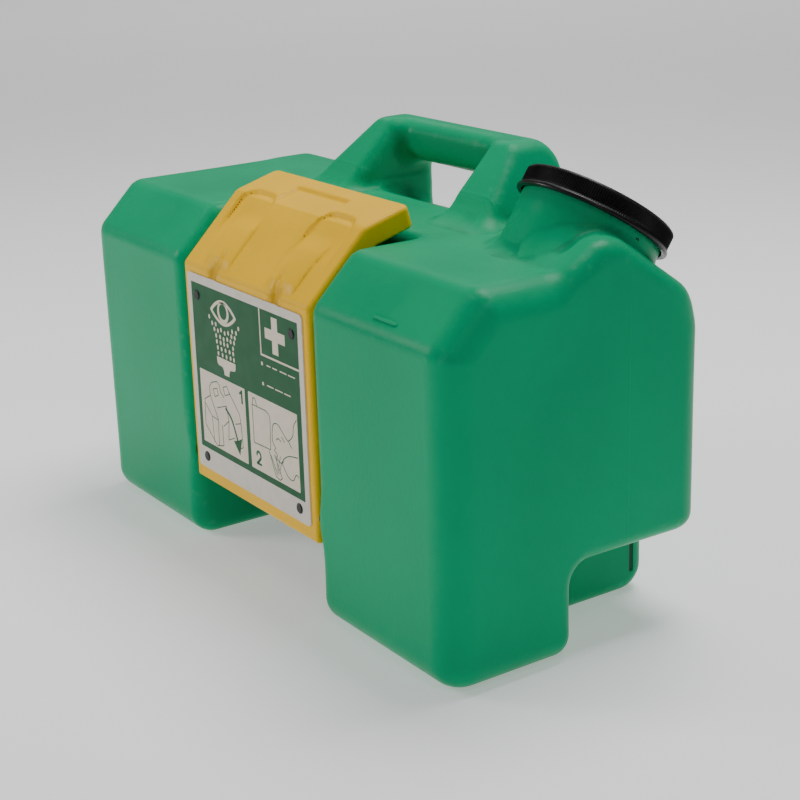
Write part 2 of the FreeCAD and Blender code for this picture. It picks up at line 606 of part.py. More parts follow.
def placard_and_rivets():
    """Instruction plate on the arm's face and the four push rivets that hold it."""
    corners = [("-placard_half", "placard_low_z"), ("placard_half", "placard_low_z"),
               ("placard_half", "placard_high_z"), ("-placard_half", "placard_high_z")]
    plate = prism("placard_plate", "XZ", corners, "-arm_front_y", "placard_thickness",
                  [((0, 1, 2, 3), "placard_radius")])
    holes, rivets = [], []
    for i, (x, z) in enumerate(rivet_places()):
        holes.append(place(cylinder(f"placard_hole_{i}", "rivet_shank + 0.02", "10"),
                           x, "arm_front_y + 5", z, (1, 0, 0), 90))
        rivet = turned(f"rivet_{i}", [("0", "0.9"), ("rivet_head - 0.8", "0.9"), ("rivet_head", "0.3"),
                                      ("rivet_head", "0"), ("rivet_shank", "0"), ("rivet_shank", "-4.8"),
                                      ("rivet_shank + 0.8", "-5.4"), ("rivet_shank - 0.8", "-9"), ("0", "-9")])
        rivets.append(place(rivet, x, "arm_front_y - placard_thickness", z, (1, 0, 0), 90))
    keep("placard", cut("placard_drilled", plate, holes))
    keep("placard_rivets", group("rivets", rivets))


def spray_head(side, sign):
    """Cup that stands square on the slope's inside, with a screw flange and a hose spigot pointing down."""
    tilt = 180 + size("slope_angle")
    at = (f"{sign} * hose_x", *slope_middle("arm_wall"), (1, 0, 0), tilt)
    head = place(turned(f"{side}_head", [
        ("0", "0"), ("18", "0"), ("18", "3"), ("nozzle_radius", "3"), ("nozzle_radius", "nozzle_reach"),
        ("0", "nozzle_reach")]), *at)
    spigot = place(cylinder(f"{side}_spigot", "hose_bore - 0.2", "16"),
                   f"{sign} * hose_x", "inlet_y", "inlet_z - 6")
    collar = place(cylinder(f"{side}_collar", "hose_radius + 0.5", "12"),
                   f"{sign} * hose_x", "inlet_y", "inlet_z + 0.05")
    cup = place(cylinder(f"{side}_cup", "nozzle_radius - 2", "nozzle_reach"),
                f"{sign} * hose_x", *slope_middle("arm_wall + 6"), (1, 0, 0), tilt)
    way = place(cylinder(f"{side}_way", "3.5", "30"), f"{sign} * hose_x", "inlet_y", "inlet_z - 13")
    holes = [place(cylinder(f"{side}_flange_hole_{i}", "1.7", "4"),
                   f"{sign} * hose_x + {offset}", *slope_middle("arm_wall - 0.5"), (1, 0, 0), tilt)
             for i, offset in enumerate(SCREW_OFFSETS)]
    solid = fuse(f"{side}_head_solid", [head, spigot, collar])
    keep(f"{side}_nozzle", cut(f"{side}_head_body", solid, [cup, way] + holes))
    plate = turned(f"{side}_plate", [
        ("0", "nozzle_reach - 2.5"), ("nozzle_radius - 2.02", "nozzle_reach - 2.5"),
        ("nozzle_radius - 2.02", "nozzle_reach - 0.5"), ("0", "nozzle_reach")])
    keep(f"{side}_spray_plate", place(plate, *at))
    return [place(turned(f"{side}_nozzle_screw_{i}", [
        ("0", "-2.8"), ("1.6", "-2.8"), ("1.6", "3"), ("3", "3"), ("2.4", "4.6"), ("0", "4.8")]),
        f"{sign} * hose_x + {offset}", *at[1:]) for i, offset in enumerate(SCREW_OFFSETS)]


def nozzles():
    """Two spray heads, their spray plates and their screws."""
    screws = []
    for side, sign in SIDES:
        screws += spray_head(side, sign)
    keep("nozzle_screws", group("nozzle_screw_set", screws))


def inner_panel():
    """Cover over the hoses inside the arm, its screws and the rubber bumpers that meet the tank."""
    corners = [("-panel_half", "panel_low_z"), ("panel_half", "panel_low_z"),
               ("panel_half", "panel_high_z"), ("-panel_half", "panel_high_z")]
    plate = prism("panel_plate", "XZ", corners, "-panel_y - panel_thickness", "panel_thickness",
                  [((0, 1, 2, 3), "8")])
    holes, screws, bumpers = [], [], []
    rear = "panel_y + panel_thickness"
    for i, (x, z) in enumerate(panel_screw_places()):
        holes.append(place(cylinder(f"panel_hole_{i}", "1.9", "10"), x, f"{rear} + 3", z, (1, 0, 0), 90))
        screw = turned(f"panel_screw_{i}", [("0", "12"), ("1.6", "12"), ("1.6", "0"), ("3.4", "0"),
                                            ("2.8", "-2"), ("0", "-2.3")])
        screws.append(place(screw, x, rear, z, (1, 0, 0), 90))
    reach = "panel_y + panel_thickness - recess_back_y + face_gap"
    for side, sign in SIDES:
        holes.append(place(cylinder(f"{side}_bumper_hole", "3", "10"),
                           f"{sign} * bumper_x", f"{rear} + 3", "bumper_z", (1, 0, 0), 90))
        bumper = turned(f"{side}_bumper", [("0", "4"), ("3.6", "3.5"), ("3.6", "panel_thickness"),
                                           ("3", "panel_thickness"), ("3", "0"), ("bumper_radius", "0"),
                                           ("bumper_radius - 1.5", reach), ("0", reach)])
        bumpers.append(place(bumper, f"{sign} * bumper_x", rear, "bumper_z", (1, 0, 0), 90))
    keep("arm_inner_panel", cut("panel_drilled", plate, holes))
    keep("panel_screws", group("panel_screw_set", screws))
    keep("arm_bumpers", group("bumpers", bumpers))


# ---------------------------------------------------------------- hinge

def hinge():
    """Shoulder pin screwed into a tank insert on each side, and the bush it turns in."""
    inserts, pins, bushes = [], [], []
    for side, sign in SIDES:
        at = (f"{sign} * recess_half", "hinge_y", "hinge_z", (0, sign, 0), 90)
        inserts.append(place(turned(f"{side}_insert", [
            ("pin_radius", "0"), ("insert_radius", "0"), ("insert_radius", "insert_length"),
            ("0", "insert_length"), ("0", "insert_length - 2"), ("pin_radius", "insert_length - 2")]), *at))
        shank = "boss_inner_x - recess_half - 0.6"
        pins.append(place(turned(f"{side}_pin", [
            ("0", f"{shank} - 4"), ("6.4", f"{shank} - 4"), ("7.4", f"{shank} - 3"), ("7.4", shank),
            ("pin_radius", shank), ("pin_radius", "insert_length - 3"), ("0", "insert_length - 3")]), *at))
        bushes.append(place(turned(f"{side}_bush", [
            ("pin_radius + pin_clearance", "boss_inner_x - recess_half - 0.2"),
            ("bush_radius", "boss_inner_x - recess_half - 0.2"), ("bush_radius", "arm_half - recess_half"),
            ("boss_radius", "arm_half - recess_half"), ("boss_radius", "-face_gap"),
            ("pin_radius + pin_clearance", "-face_gap")]), *at))
    keep("hinge_inserts", group("insert_pair", inserts))
    keep("hinge_pins", group("pin_pair", pins))
    keep("hinge_bushes", group("bush_pair", bushes))


# ---------------------------------------------------------------- cap

def cap_and_liner():
    """Screw cap with its lower bead, and the foam liner that seals on the neck."""
    under = "mouth_rise + liner_thickness + pin_clearance"
    cap = turned("cap", [
        ("cap_bore", "0"), ("cap_bead_radius", "0"), ("cap_bead_radius", "3"), ("cap_radius", "4"),
        ("cap_radius", "cap_height - 1.6"), ("cap_radius - 1.6", "cap_height"), ("0", "cap_height"),
        ("0", under), ("cap_bore", under)])
    keep("fill_cap", on_neck(cap))
    top = "mouth_rise + liner_thickness"
    liner = turned("liner", [("0", "mouth_rise"), ("cap_bore - 1", "mouth_rise"), ("cap_bore - 1", top),
                             ("0", top)])
    keep("cap_liner", on_neck(liner))


def report_capacity(hollow):
    """Volume of the hollow up to the fill line moulded on the front chamfer."""
    fill_z = 265
    water = hollow.Shape.common(Part.makeBox(700, 700, fill_z, Vector(-350, -350, 0)))
    print(f"hollow {hollow.Shape.Volume / 1e6:.1f} l, to the fill line {water.Volume / 1e6:.1f} l")


def check_and_write():
    """Stop on any failed object, then write one file for each sub-part."""
    doc.recompute()
    for thing in doc.Objects:
        if "Invalid" in thing.State or "Error" in thing.State:
            raise RuntimeError(f"{thing.Label} did not build: {thing.State}")
    os.makedirs("parts", exist_ok=True)
    for node, thing in nodes.items():
        shape = thing.Shape
        if shape.isNull() or not shape.isValid() or not shape.Solids:
            raise RuntimeError(f"{node} has no valid solid")
        print(f"{node}: {len(shape.Solids)} solid(s), {shape.Volume / 1000:.1f} cm3")
        shape.exportStep(f"parts/{node}.step")


hollow_form = tank_shell()
outlet_sets()
hoses()
hose_clamps()
arm_shell()
placard_and_rivets()
nozzles()
inner_panel()
hinge()
cap_and_liner()
check_and_write()
report_capacity(hollow_form)
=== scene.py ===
"""Finished look of a portable gravity-fed eyewash station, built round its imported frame.

The surfaces are worked out in millimetres, in the frame's own axes, and handed to Blender in metres.
"""

import math

import bmesh
import bpy
import numpy as np
from mathutils import Matrix, Vector
from mathutils.geometry import tessellate_polygon


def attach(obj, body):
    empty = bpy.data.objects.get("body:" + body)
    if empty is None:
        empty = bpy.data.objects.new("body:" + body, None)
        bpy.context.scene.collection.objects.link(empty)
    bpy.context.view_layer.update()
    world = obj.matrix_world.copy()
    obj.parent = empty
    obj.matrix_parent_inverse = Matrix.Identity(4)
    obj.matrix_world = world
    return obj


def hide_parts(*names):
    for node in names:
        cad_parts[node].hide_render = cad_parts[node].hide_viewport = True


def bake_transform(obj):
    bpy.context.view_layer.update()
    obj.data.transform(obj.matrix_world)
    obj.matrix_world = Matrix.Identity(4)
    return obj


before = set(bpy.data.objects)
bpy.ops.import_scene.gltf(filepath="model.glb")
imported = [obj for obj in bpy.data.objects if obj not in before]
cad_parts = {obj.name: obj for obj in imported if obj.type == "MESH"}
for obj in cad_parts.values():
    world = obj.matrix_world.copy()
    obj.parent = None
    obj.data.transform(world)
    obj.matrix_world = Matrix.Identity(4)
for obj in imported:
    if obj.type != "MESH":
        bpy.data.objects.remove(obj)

bl_info = {
    "name": "Eyewash Station Looks",
    "version": (1, 0, 0),
    "blender": (4, 5, 0),
    "location": "View3D > Sidebar > Eyewash",
    "description": "Builds the finished surfaces and materials of a portable eyewash station",
    "category": "Object",
}

DIAGONAL = math.sqrt(0.5)

# The tank: half its width, half its depth and the height of its block, and where its cut-aways begin.
TANK_HALF = 275.0
TANK_FACE = 121.15
TANK_TOP = 295.4
CHAMFER_FOOT = 256.6
NOTCH_TOP = 73.7
RECESS_BACK = -64.0

# The neck: the centre of the cap's rim, and the direction in which it leans.
TILT = math.radians(35.2)
NECK = np.array((200.2, 69.1, 307.7))
NECK_AXIS = np.array((0.0, math.sin(TILT), math.cos(TILT)))
THREAD_PITCH = 9.0

# The arm: its hinge, its front face, the fold over the sign, and the two faces above that fold.
HINGE_Y, HINGE_Z = -108.0, 84.0
ARM_FACE = -119.0
FOLD_Z = 253.8
SLOPE = math.radians(44.79)
FLANGE = math.radians(15.66)
SLOPE_LENGTH = 75.66
FLANGE_LENGTH = 43.72
CREST_Y = ARM_FACE + SLOPE_LENGTH * math.cos(SLOPE)
CREST_Z = FOLD_Z + SLOPE_LENGTH * math.sin(SLOPE)
ARM_HALF = 98.5
ARM_WALL = 3.5

SIGN_FACE = -120.2
HOSE_X = 48.0


# ---------------------------------------------------------------- shapes as distances

def step_up(value, low, high):
    """Smooth rise from 0 at low to 1 at high."""
    share = np.clip((value - low) / (high - low), 0.0, 1.0)
    return share * share * (3.0 - 2.0 * share)


def meet(first, second, radius, cosine=0.0):
    """Distance to what two shapes share, its edge rounded to a radius.

    cosine belongs to the angle between their outward directions, so that the rounding is a true arc.
    """
    near = first + radius
    far = second + radius
    square = near * near + far * far - 2.0 * cosine * near * far
    arc = np.sqrt(np.maximum(square, 0.0) / (1.0 - cosine * cosine)) - radius
    in_corner = (near > cosine * far) & (far > cosine * near)
    return np.where(in_corner, arc, np.maximum(first, second))


def join(first, second, radius, cosine=0.0):
    """Distance to two shapes together, the hollow edge between them filled to a radius."""
    return -meet(-first, -second, radius, cosine)


def remove(first, second, radius, cosine=0.0):
    """Distance to the first shape less the second, its new edges rounded to a radius."""
    return meet(first, -second, radius, cosine)


def along_neck(x, y, z):
    """Distance from the neck's axis, and height along it above the cap's rim."""
    dx = x - NECK[0]
    dy = y - NECK[1]
    dz = z - NECK[2]
    height = dy * NECK_AXIS[1] + dz * NECK_AXIS[2]
    return np.sqrt(np.maximum(dx * dx + dy * dy + dz * dz - height * height, 0.0)), height


def tank_field(x, y, z):
    """Distance to the tank's outside: a block with its cut-aways, the handle and the leaning neck."""
    across = np.abs(x)
    rear = y - TANK_FACE
    slope = 0.5764 * y + 0.8171 * z - 278.2
    on_right = step_up(x, 128.0, 150.0)

    # The block: rear face with its slope, front face with its chamfer, and the top with saddle and ridge.
    back = np.maximum(rear, join(meet(rear, slope, 48.0, 0.5764), x - 136.0, 12.0))
    front = meet(-y - TANK_FACE, (z - CHAMFER_FOOT - y - TANK_FACE) * DIAGONAL, 18.0, DIAGONAL)
    saddle = (z - TANK_TOP) * 0.938 + (y - 55.0) * 0.347
    top = np.maximum(z - TANK_TOP, join(saddle, 69.0 - across, 10.0))
    hump = meet((z - TANK_TOP) * 0.8763 - (y + 13.0) * 0.4818, 207.0 - x, 9.0)
    valley = 2.4 * np.exp(-((x - 243.0) / 6.5) ** 2) * step_up(y, -8.0, 14.0)
    top = join(top, hump + valley, 14.0, 0.8763)
    crest = meet(front, top, 18.0, DIAGONAL)
    crest = meet(crest, back, 24.0 + 6.0 * on_right, 0.438 * on_right)
    edge = 25.0 - 10.0 * on_right * step_up(y, -24.0, -4.0) * step_up(z, 240.0, 275.0)
    block = meet(meet(across - TANK_HALF, crest, edge), -z, 22.0)

    # The arm's recess between the front lobes, and the notches at the rear corners.
    lean = (y - RECESS_BACK - (z - 215.0)) * DIAGONAL
    recess = join(y - RECESS_BACK, meet(lean, y + 20.0, 12.0, DIAGONAL), 14.0, DIAGONAL)
    recess = join(recess, meet(z - NOTCH_TOP, y + 6.35, 16.0), 10.0)
    corner = 13.0 - 6.0 * np.exp(-((z - HINGE_Z) / 18.0) ** 2)
    block = remove(block, meet(across - 100.6, recess, 9.0), corner)
    notch = meet(meet(211.0 - across, -6.35 - y, 10.0), z - NOTCH_TOP, 16.0)
    block = remove(block, notch, 13.0)

    # The carrying handle, with the gap for the hand.
    rising = meet((z - TANK_TOP - (y - 22.0)) * DIAGONAL, z - 352.0, 13.0, DIAGONAL)
    rising = meet(rising, rear, 20.0)
    flank = np.maximum(((across - 128.0) * 56.6 + (z - TANK_TOP) * 32.0) / 65.02, across - 128.0)
    handle = meet(meet(rising, flank, 13.0, 0.3), 240.0 - z, 4.0)
    gap = meet(across - 65.0, join(y - 85.0, z - 316.0, 15.0), 12.0)
    handle = remove(handle, gap, 13.0)
    body = np.maximum(join(block, handle, 9.0), rear)

    # The neck and its bore, the pockets of the hinge, and the slight sinking of large moulded faces.
    reach, height = along_neck(x, y, z)
    neck = meet(meet(reach - 56.0, height - 3.2, 2.0), -74.0 - height, 1.0)
    body = join(body, neck, 8.0)
    body = remove(body, meet(reach - 46.0, -60.0 - height, 6.0), 1.2)
    pocket = meet(np.hypot(y - HINGE_Y, z - HINGE_Z) - 7.2, across - 113.5, 0.5)
    body = remove(body, meet(pocket, 99.0 - across, 0.5), 0.5)
    sink = 0.25 * (2.0 + np.sin(x / 61.0 + 0.7) * np.sin(z / 47.0 + 0.4) + np.sin(y / 37.0 + 1.1))
    return body + sink * step_up(z, 4.0, 40.0) * (1.0 - step_up(height, -20.0, -8.0))


def along_arm(y, z):
    """Length along the arm's face, from the fold over the sign: down is less than zero."""
    slope = (y - ARM_FACE) * math.cos(SLOPE) + (z - FOLD_Z) * math.sin(SLOPE)
    flange = SLOPE_LENGTH + (y - CREST_Y) * math.cos(FLANGE) + (z - CREST_Z) * math.sin(FLANGE)
    at_crest = (SLOPE + FLANGE) / 2.0
    over = (y - CREST_Y) * math.cos(at_crest) + (z - CREST_Z) * math.sin(at_crest)
    at_fold = (math.pi / 2.0 + SLOPE) / 2.0
    under = (y - ARM_FACE) * math.cos(at_fold) + (z - FOLD_Z) * math.sin(at_fold)
    return np.where(under < 0.0, z - FOLD_Z, np.where(over < 0.0, slope, flange))


def arm_relief(x, length):
    """How far the arm's moulded face lies under its flat one, in millimetres; less than zero is raised.

    Above the sign run two raised channels, each with a fine crease along it and a pit at its foot. They
    end in two round-topped dishes with a shallow bridge between them.
    """
    across = np.abs(x)
    arch = 20.0
    wide = np.maximum(np.abs(across - 59.0) - 27.0 + arch, 0.0)
    tall = np.maximum(length - 86.0 + arch, 0.0)
    dish = 1.0 - step_up(np.hypot(wide, tall) - arch, -4.5, 0.5)
    dish = 3.4 * dish * step_up(length, 22.0, 62.0)
    bridge = (1.0 - step_up(across, 35.5, 40.0)) * (1.0 - step_up(length, 100.5, 105.0))
    bridge = 2.6 * bridge * step_up(length, 56.0, 90.0)
    channel = np.clip(1.0 - ((across - 50.0) / 20.5) ** 2, 0.0, 1.0) ** 0.4
    channel = 3.0 * channel * step_up(length, 2.0, 14.0) * (1.0 - step_up(length, 40.0, 62.0))
    crease = 1.5 * np.exp(-((across - 45.0) / 2.6) ** 2) * step_up(length, 2.0, 8.0)
    crease = crease * (1.0 - step_up(length, 14.0, 24.0))
    pit = 3.2 * np.exp(-((across - 49.0) / 4.6) ** 2 - ((length + 0.5) / 7.0) ** 2)
    return np.maximum(dish, bridge) - channel + pit + crease


def arm_field(x, y, z):
    """Distance to the arm: a folded tray with rolled edges, bosses and the notches of the hoses."""
    across = np.abs(x)
    face = -y + ARM_FACE
    slope = (z - FOLD_Z) * math.cos(SLOPE) - (y - ARM_FACE) * math.sin(SLOPE)
    flange = (z - CREST_Z) * math.cos(FLANGE) - (y - CREST_Y) * math.sin(FLANGE)
    plain = meet(meet(face, slope, 7.0, 0.7045), flange, 9.0, 0.8735)
    skin = plain + arm_relief(x, along_arm(y, z))
    end = (y - CREST_Y) * math.cos(FLANGE) + (z - CREST_Z) * math.sin(FLANGE) - FLANGE_LENGTH
    rim = meet(meet(across - ARM_HALF, end, 7.0), 62.0 - z, 2.5)
    solid = meet(meet(skin, rim, 3.5), -plain - 18.0, 1.5)
    inner_ends = meet(65.5 - z, end + ARM_WALL, 0.0)
    space = meet(meet(skin + ARM_WALL, across - (ARM_HALF - ARM_WALL), 4.0), inner_ends, 4.0)
    solid = remove(solid, space, 1.4)
    pin = np.hypot(y - HINGE_Y, z - HINGE_Z)
    boss = meet(meet(pin - 9.0, across - ARM_HALF, 0.6), 85.0 - across, 0.6)
    post_height = np.minimum(np.abs(z - 114.0), np.abs(z - 208.0))
    post = meet(np.hypot(across - 76.0, post_height) - 5.0, y + 80.0, 0.5)
    post = meet(post, -116.0 - y, 0.5)
    egg = np.sqrt(((x - 50.0) / 9.0) ** 2 + ((y + 112.0) / 5.0) ** 2 + ((z - 63.0) / 3.8) ** 2)
    lump = (egg - 1.0) * 3.8
    solid = join(join(np.minimum(solid, post), boss, 1.5), lump, 1.5)
    solid = remove(solid, meet(pin - 6.6, 60.0 - across, 0.3), 0.4)
    hose_gap = meet(meet(np.abs(across - HOSE_X) - 10.5, -109.5 - y, 2.0), z - 67.0, 0.5)
    return remove(solid, hose_gap, 1.0)


def slopes(field, spots, reach):
    """Gradient of a field at many places, from its values on both sides along each axis."""
    parts = []
    for axis in range(3):
        shift = np.zeros(3)
        shift[axis] = reach
        ahead = field(*(spots + shift).T)
        behind = field(*(spots - shift).T)
        parts.append((ahead - behind) / (2.0 * reach))
    return np.stack(parts, axis=1)


def surface_of(field, low, high, step):
    """Closed surface where a field is zero, as vertices in millimetres and quads.

    Each cell of a regular grid that the surface crosses gets one vertex, at the mean of the crossings on
    its edges, and each crossed grid edge joins its four cells in a quad. The vertices are then moved
    along the gradient until the field is zero at them.
    """
    axes = [np.arange(a - 1.5 * step, b + 2.5 * step, step) for a, b in zip(low, high)]
    values = field(*np.meshgrid(*axes, indexing="ij"))
    inside = values < 0.0
    cells = [n - 1 for n in values.shape]
    filled = np.zeros(cells, dtype=np.int8)
    for corner in np.ndindex(2, 2, 2):
        filled += inside[tuple(slice(c, c + n) for c, n in zip(corner, cells))]
    active = (filled > 0) & (filled < 8)
    number = np.full(cells, -1)
    number[active] = np.arange(active.sum())
    cell = np.argwhere(active)
    total = np.zeros((len(cell), 3))
    count = np.zeros(len(cell))
    for axis in range(3):
        one, two = [k for k in range(3) if k != axis]
        for first, second in np.ndindex(2, 2):
            start = cell.copy()
            start[:, one] += first
            start[:, two] += second
            end = start.copy()
            end[:, axis] += 1
            a = values[tuple(start.T)]
            b = values[tuple(end.T)]
            crossed = (a < 0.0) != (b < 0.0)
            spot = start.astype(float)
            spot[:, axis] += np.where(crossed, a / np.where(crossed, a - b, 1.0), 0.0)
            total += spot * crossed[:, None]
            count += crossed
    vertices = total / count[:, None] * step + np.array([a[0] for a in axes])
    quads = []
    for axis in range(3):
        one, two = (axis + 1) % 3, (axis + 2) % 3
        changed = np.argwhere(np.diff(inside, axis=axis))
        for side in (one, two):
            changed = changed[(changed[:, side] > 0) & (changed[:, side] < values.shape[side] - 1)]
        ring = []
        for first, second in ((0, 0), (1, 0), (1, 1), (0, 1)):
            spot = changed.copy()
            spot[:, one] -= first
            spot[:, two] -= second
            ring.append(number[tuple(spot.T)])
        ring = np.stack(ring, axis=1)
        backwards = ~inside[tuple(changed.T)]
        ring[backwards] = ring[backwards][:, ::-1]
        quads.append(ring)
    rounds, probe = 5, 0.2
    for _ in range(rounds):
        slope = slopes(field, vertices, probe)
        steep = np.maximum((slope * slope).sum(axis=1), 0.2)
        move = slope * (field(*vertices.T) / steep)[:, None]
        length = np.linalg.norm(move, axis=1, keepdims=True)
        vertices -= move * np.minimum(1.0, 0.4 * step / np.maximum(length, 1e-9))
    return vertices, np.concatenate(quads)


# ---------------------------------------------------------------- meshes

def add_object(name, data):
    """Put a mesh, a light or a camera into the scene."""
    thing = bpy.data.objects.new(name, data)
    bpy.context.scene.collection.objects.link(thing)
    return thing


def mesh_from(name, vertices, faces, finish, normals=None, sharp=None, **amounts):
    """Smooth mesh object from millimetre vertices, with sharp edges where faces meet at more than an angle.

    sharp is that angle in degrees; amounts are per-vertex numbers kept as attributes.
    """
    mesh = bpy.data.meshes.new(name)
    mesh.from_pydata((np.asarray(vertices) * 0.001).tolist(), [], [list(face) for face in faces])
    for amount, numbers in amounts.items():
        mesh.attributes.new(amount, "FLOAT", "POINT").data.foreach_set("value", numbers.astype(np.float32))
    mesh.materials.append(finish)
    mesh.shade_smooth()
    if sharp is not None:
        mesh.set_sharp_from_angle(angle=math.radians(sharp))
    if normals is not None:
        mesh.normals_split_custom_set_from_vertices(normals.tolist())
    return add_object(name, mesh)


def moulded(name, field, low, high, step, finish):
    """Mesh of a field's surface, with true normals and how far each vertex lies on an edge or in a hollow."""
    vertices, quads = surface_of(field, low, high, step)
    normals = slopes(field, vertices, 0.3)
    normals /= np.maximum(np.linalg.norm(normals, axis=1, keepdims=True), 1e-9)
    bend = np.zeros(len(vertices))
    probe = 3.0
    for axis in range(3):
        shift = np.zeros(3)
        shift[axis] = probe
        bend += field(*(vertices + shift).T) + field(*(vertices - shift).T)
    bend = (bend - 6.0 * field(*vertices.T)) / probe ** 2
    return mesh_from(name, vertices, quads, finish, normals, bend=np.clip(bend * 10.0, -1.0, 1.0))


def turned(profile, columns, ripple=None):
    """Surface of a closed profile of (radius, height) pairs turned about the neck's axis.

    ripple gives the change of radius for an angle array and a profile row.
    """
    angle = np.arange(columns) * 2.0 * math.pi / columns
    side = np.array((1.0, 0.0, 0.0))
    other = np.cross(NECK_AXIS, side)
    outward = np.cos(angle)[:, None] * side + np.sin(angle)[:, None] * other
    rows = []
    for row, (radius, height) in enumerate(profile):
        reach = radius + (ripple(angle, row) if ripple else 0.0) * np.ones(columns)
        rows.append(NECK + height * NECK_AXIS + outward * reach[:, None])
    vertices = np.concatenate(rows)
    count = len(profile)
    faces = []
    for row in range(count):
        here = row * columns + np.arange(columns)
        beyond = ((row + 1) % count) * columns + np.arange(columns)
        faces.append(np.stack((here, np.roll(here, -1), np.roll(beyond, -1), beyond), axis=1))
    return vertices, np.concatenate(faces)


def tube(path, radius, bore, rings):
    """Hollow round tube along a smooth path of points in the YZ plane, as vertices and quads."""
    angle = np.arange(rings) * 2.0 * math.pi / rings
    ahead = np.gradient(path, axis=0)
    ahead /= np.linalg.norm(ahead, axis=1, keepdims=True)
    side = np.array((1.0, 0.0, 0.0))
    other = np.cross(ahead, side)
    layers = []
    for reach in (radius, bore):
        ring = np.cos(angle)[None, :, None] * side + np.sin(angle)[None, :, None] * other[:, None, :]
        ring = ring * reach
        layers.append((path[:, None, :] + ring).reshape(-1, 3))
    vertices = np.concatenate(layers)
    count = len(path)
    faces = []
    for layer, turn in ((0, 1), (count * rings, -1)):
        for row in range(count - 1):
            here = layer + row * rings + np.arange(rings)
            quad = np.stack((here, np.roll(here, -1), np.roll(here, -1) + rings, here + rings), axis=1)
            faces.append(quad[:, ::-turn])
    for row, turn in ((0, 1), (count - 1, -1)):
        outer = row * rings + np.arange(rings)
        inner = outer + count * rings
        faces.append(np.stack((outer, inner, np.roll(inner, -1), np.roll(outer, -1)), axis=1)[:, ::-turn])
    return vertices, np.concatenate(faces)


def slab(name, shapes, face, thickness, finish):
    """Thin flat shapes standing on the sign; each shape is a list of outlines, the first one its outside."""
    vertices, faces = [], []
    for loops in shapes:
        start = len(vertices)
        points = [p for loop in loops for p in loop]
        count = len(points)
        vertices += [(x, face - thickness, z) for x, z in points] + [(x, face, z) for x, z in points]
        for corners in tessellate_polygon([[Vector((x, z, 0.0)) for x, z in loop] for loop in loops]):
            faces.append([start + c for c in corners])
            faces.append([start + count + c for c in reversed(corners)])
        offset = start
        for loop in loops:
            size = len(loop)
            for i in range(size):
                a, b = offset + i, offset + (i + 1) % size
                faces.append([a, b, b + count, a + count])
            offset += size
    thing = mesh_from(name, vertices, faces, finish)
    thing.data.shade_flat()
    edit = bmesh.new()
    edit.from_mesh(thing.data)
    bmesh.ops.recalc_face_normals(edit, faces=edit.faces)
    edit.to_mesh(thing.data)
    edit.free()
    return thing


def stroke(points, width):
    """Outline of a line of one width through points, as a shape for slab()."""
    path = np.array(points, dtype=float)
    ahead = np.gradient(path, axis=0)
    ahead /= np.maximum(np.linalg.norm(ahead, axis=1, keepdims=True), 1e-9)
    side = np.stack((-ahead[:, 1], ahead[:, 0]), axis=1) * width / 2.0
    return [(path + side).tolist() + (path - side).tolist()[::-1]]


def curve_through(points, count=8):
    """Points of a smooth curve that passes through each given point."""
    path = np.array(points, dtype=float)
    ends = np.vstack((2.0 * path[0] - path[1], path, 2.0 * path[-1] - path[-2]))
    made = []
    for i in range(1, len(ends) - 2):
        share = np.linspace(0.0, 1.0, count, endpoint=False)[:, None]
        before, here, there, after = ends[i - 1:i + 3]
        second = 2.0 * before - 5.0 * here + 4.0 * there - after
        third = 3.0 * (here - there) + after - before
        made.append(here + 0.5 * share * (there - before + share * (second + share * third)))
    made.append(path[-1:])
    return np.concatenate(made).tolist()


def oval(x, z, half_width, half_height, count):
    """Closed outline of an ellipse."""
    angle = np.arange(count) * 2.0 * math.pi / count
    return np.stack((x + half_width * np.cos(angle), z + half_height * np.sin(angle)), axis=1).tolist()


def panel(left, low, right, high, radius=0.8):
    """Closed outline of a rectangle with rounded corners."""
    made = []
    for x, z, turn in ((right, high, 0), (left, high, 1), (left, low, 2), (right, low, 3)):
        centre_x = x - math.copysign(radius, x - (left + right) / 2.0)
        centre_z = z - math.copysign(radius, z - (low + high) / 2.0)
        for i in range(5):
            angle = (turn + i / 4.0) * math.pi / 2.0
            made.append((centre_x + radius * math.cos(angle), centre_z + radius * math.sin(angle)))
    return made


# ---------------------------------------------------------------- materials

class Signal:
    """Output of a node in a material, which can be used in sums."""

    def __init__(self, finish, socket):
        self.finish = finish
        self.socket = socket

    def sum(self, operation, first, second):
        return self.finish.node("ShaderNodeMath", {0: first, 1: second}, operation=operation)

    def __add__(self, other):
        return self.sum("ADD", self, other)

    def __sub__(self, other):
        return self.sum("SUBTRACT", self, other)

    def __rsub__(self, other):
        return self.sum("SUBTRACT", other, self)

    def __mul__(self, other):
        return self.sum("MULTIPLY", self, other)

    def at_least(self, other):
        return self.sum("MAXIMUM", self, other)

    def size(self):
        return self.sum("ABSOLUTE", self, 0.0)

    def near(self, value, inner, outer):
        """1 within the inner distance of a value, 0 beyond the outer one."""
        return (self - value).size().between(inner, outer, 1.0, 0.0)

    def between(self, low, high, start=0.0, end=1.0):
        """Smooth change from start to end as the signal goes from low to high."""
        feeds = {"Value": self, "From Min": low, "From Max": high, "To Min": start, "To Max": end}
        return self.finish.node("ShaderNodeMapRange", feeds, interpolation_type="SMOOTHSTEP")


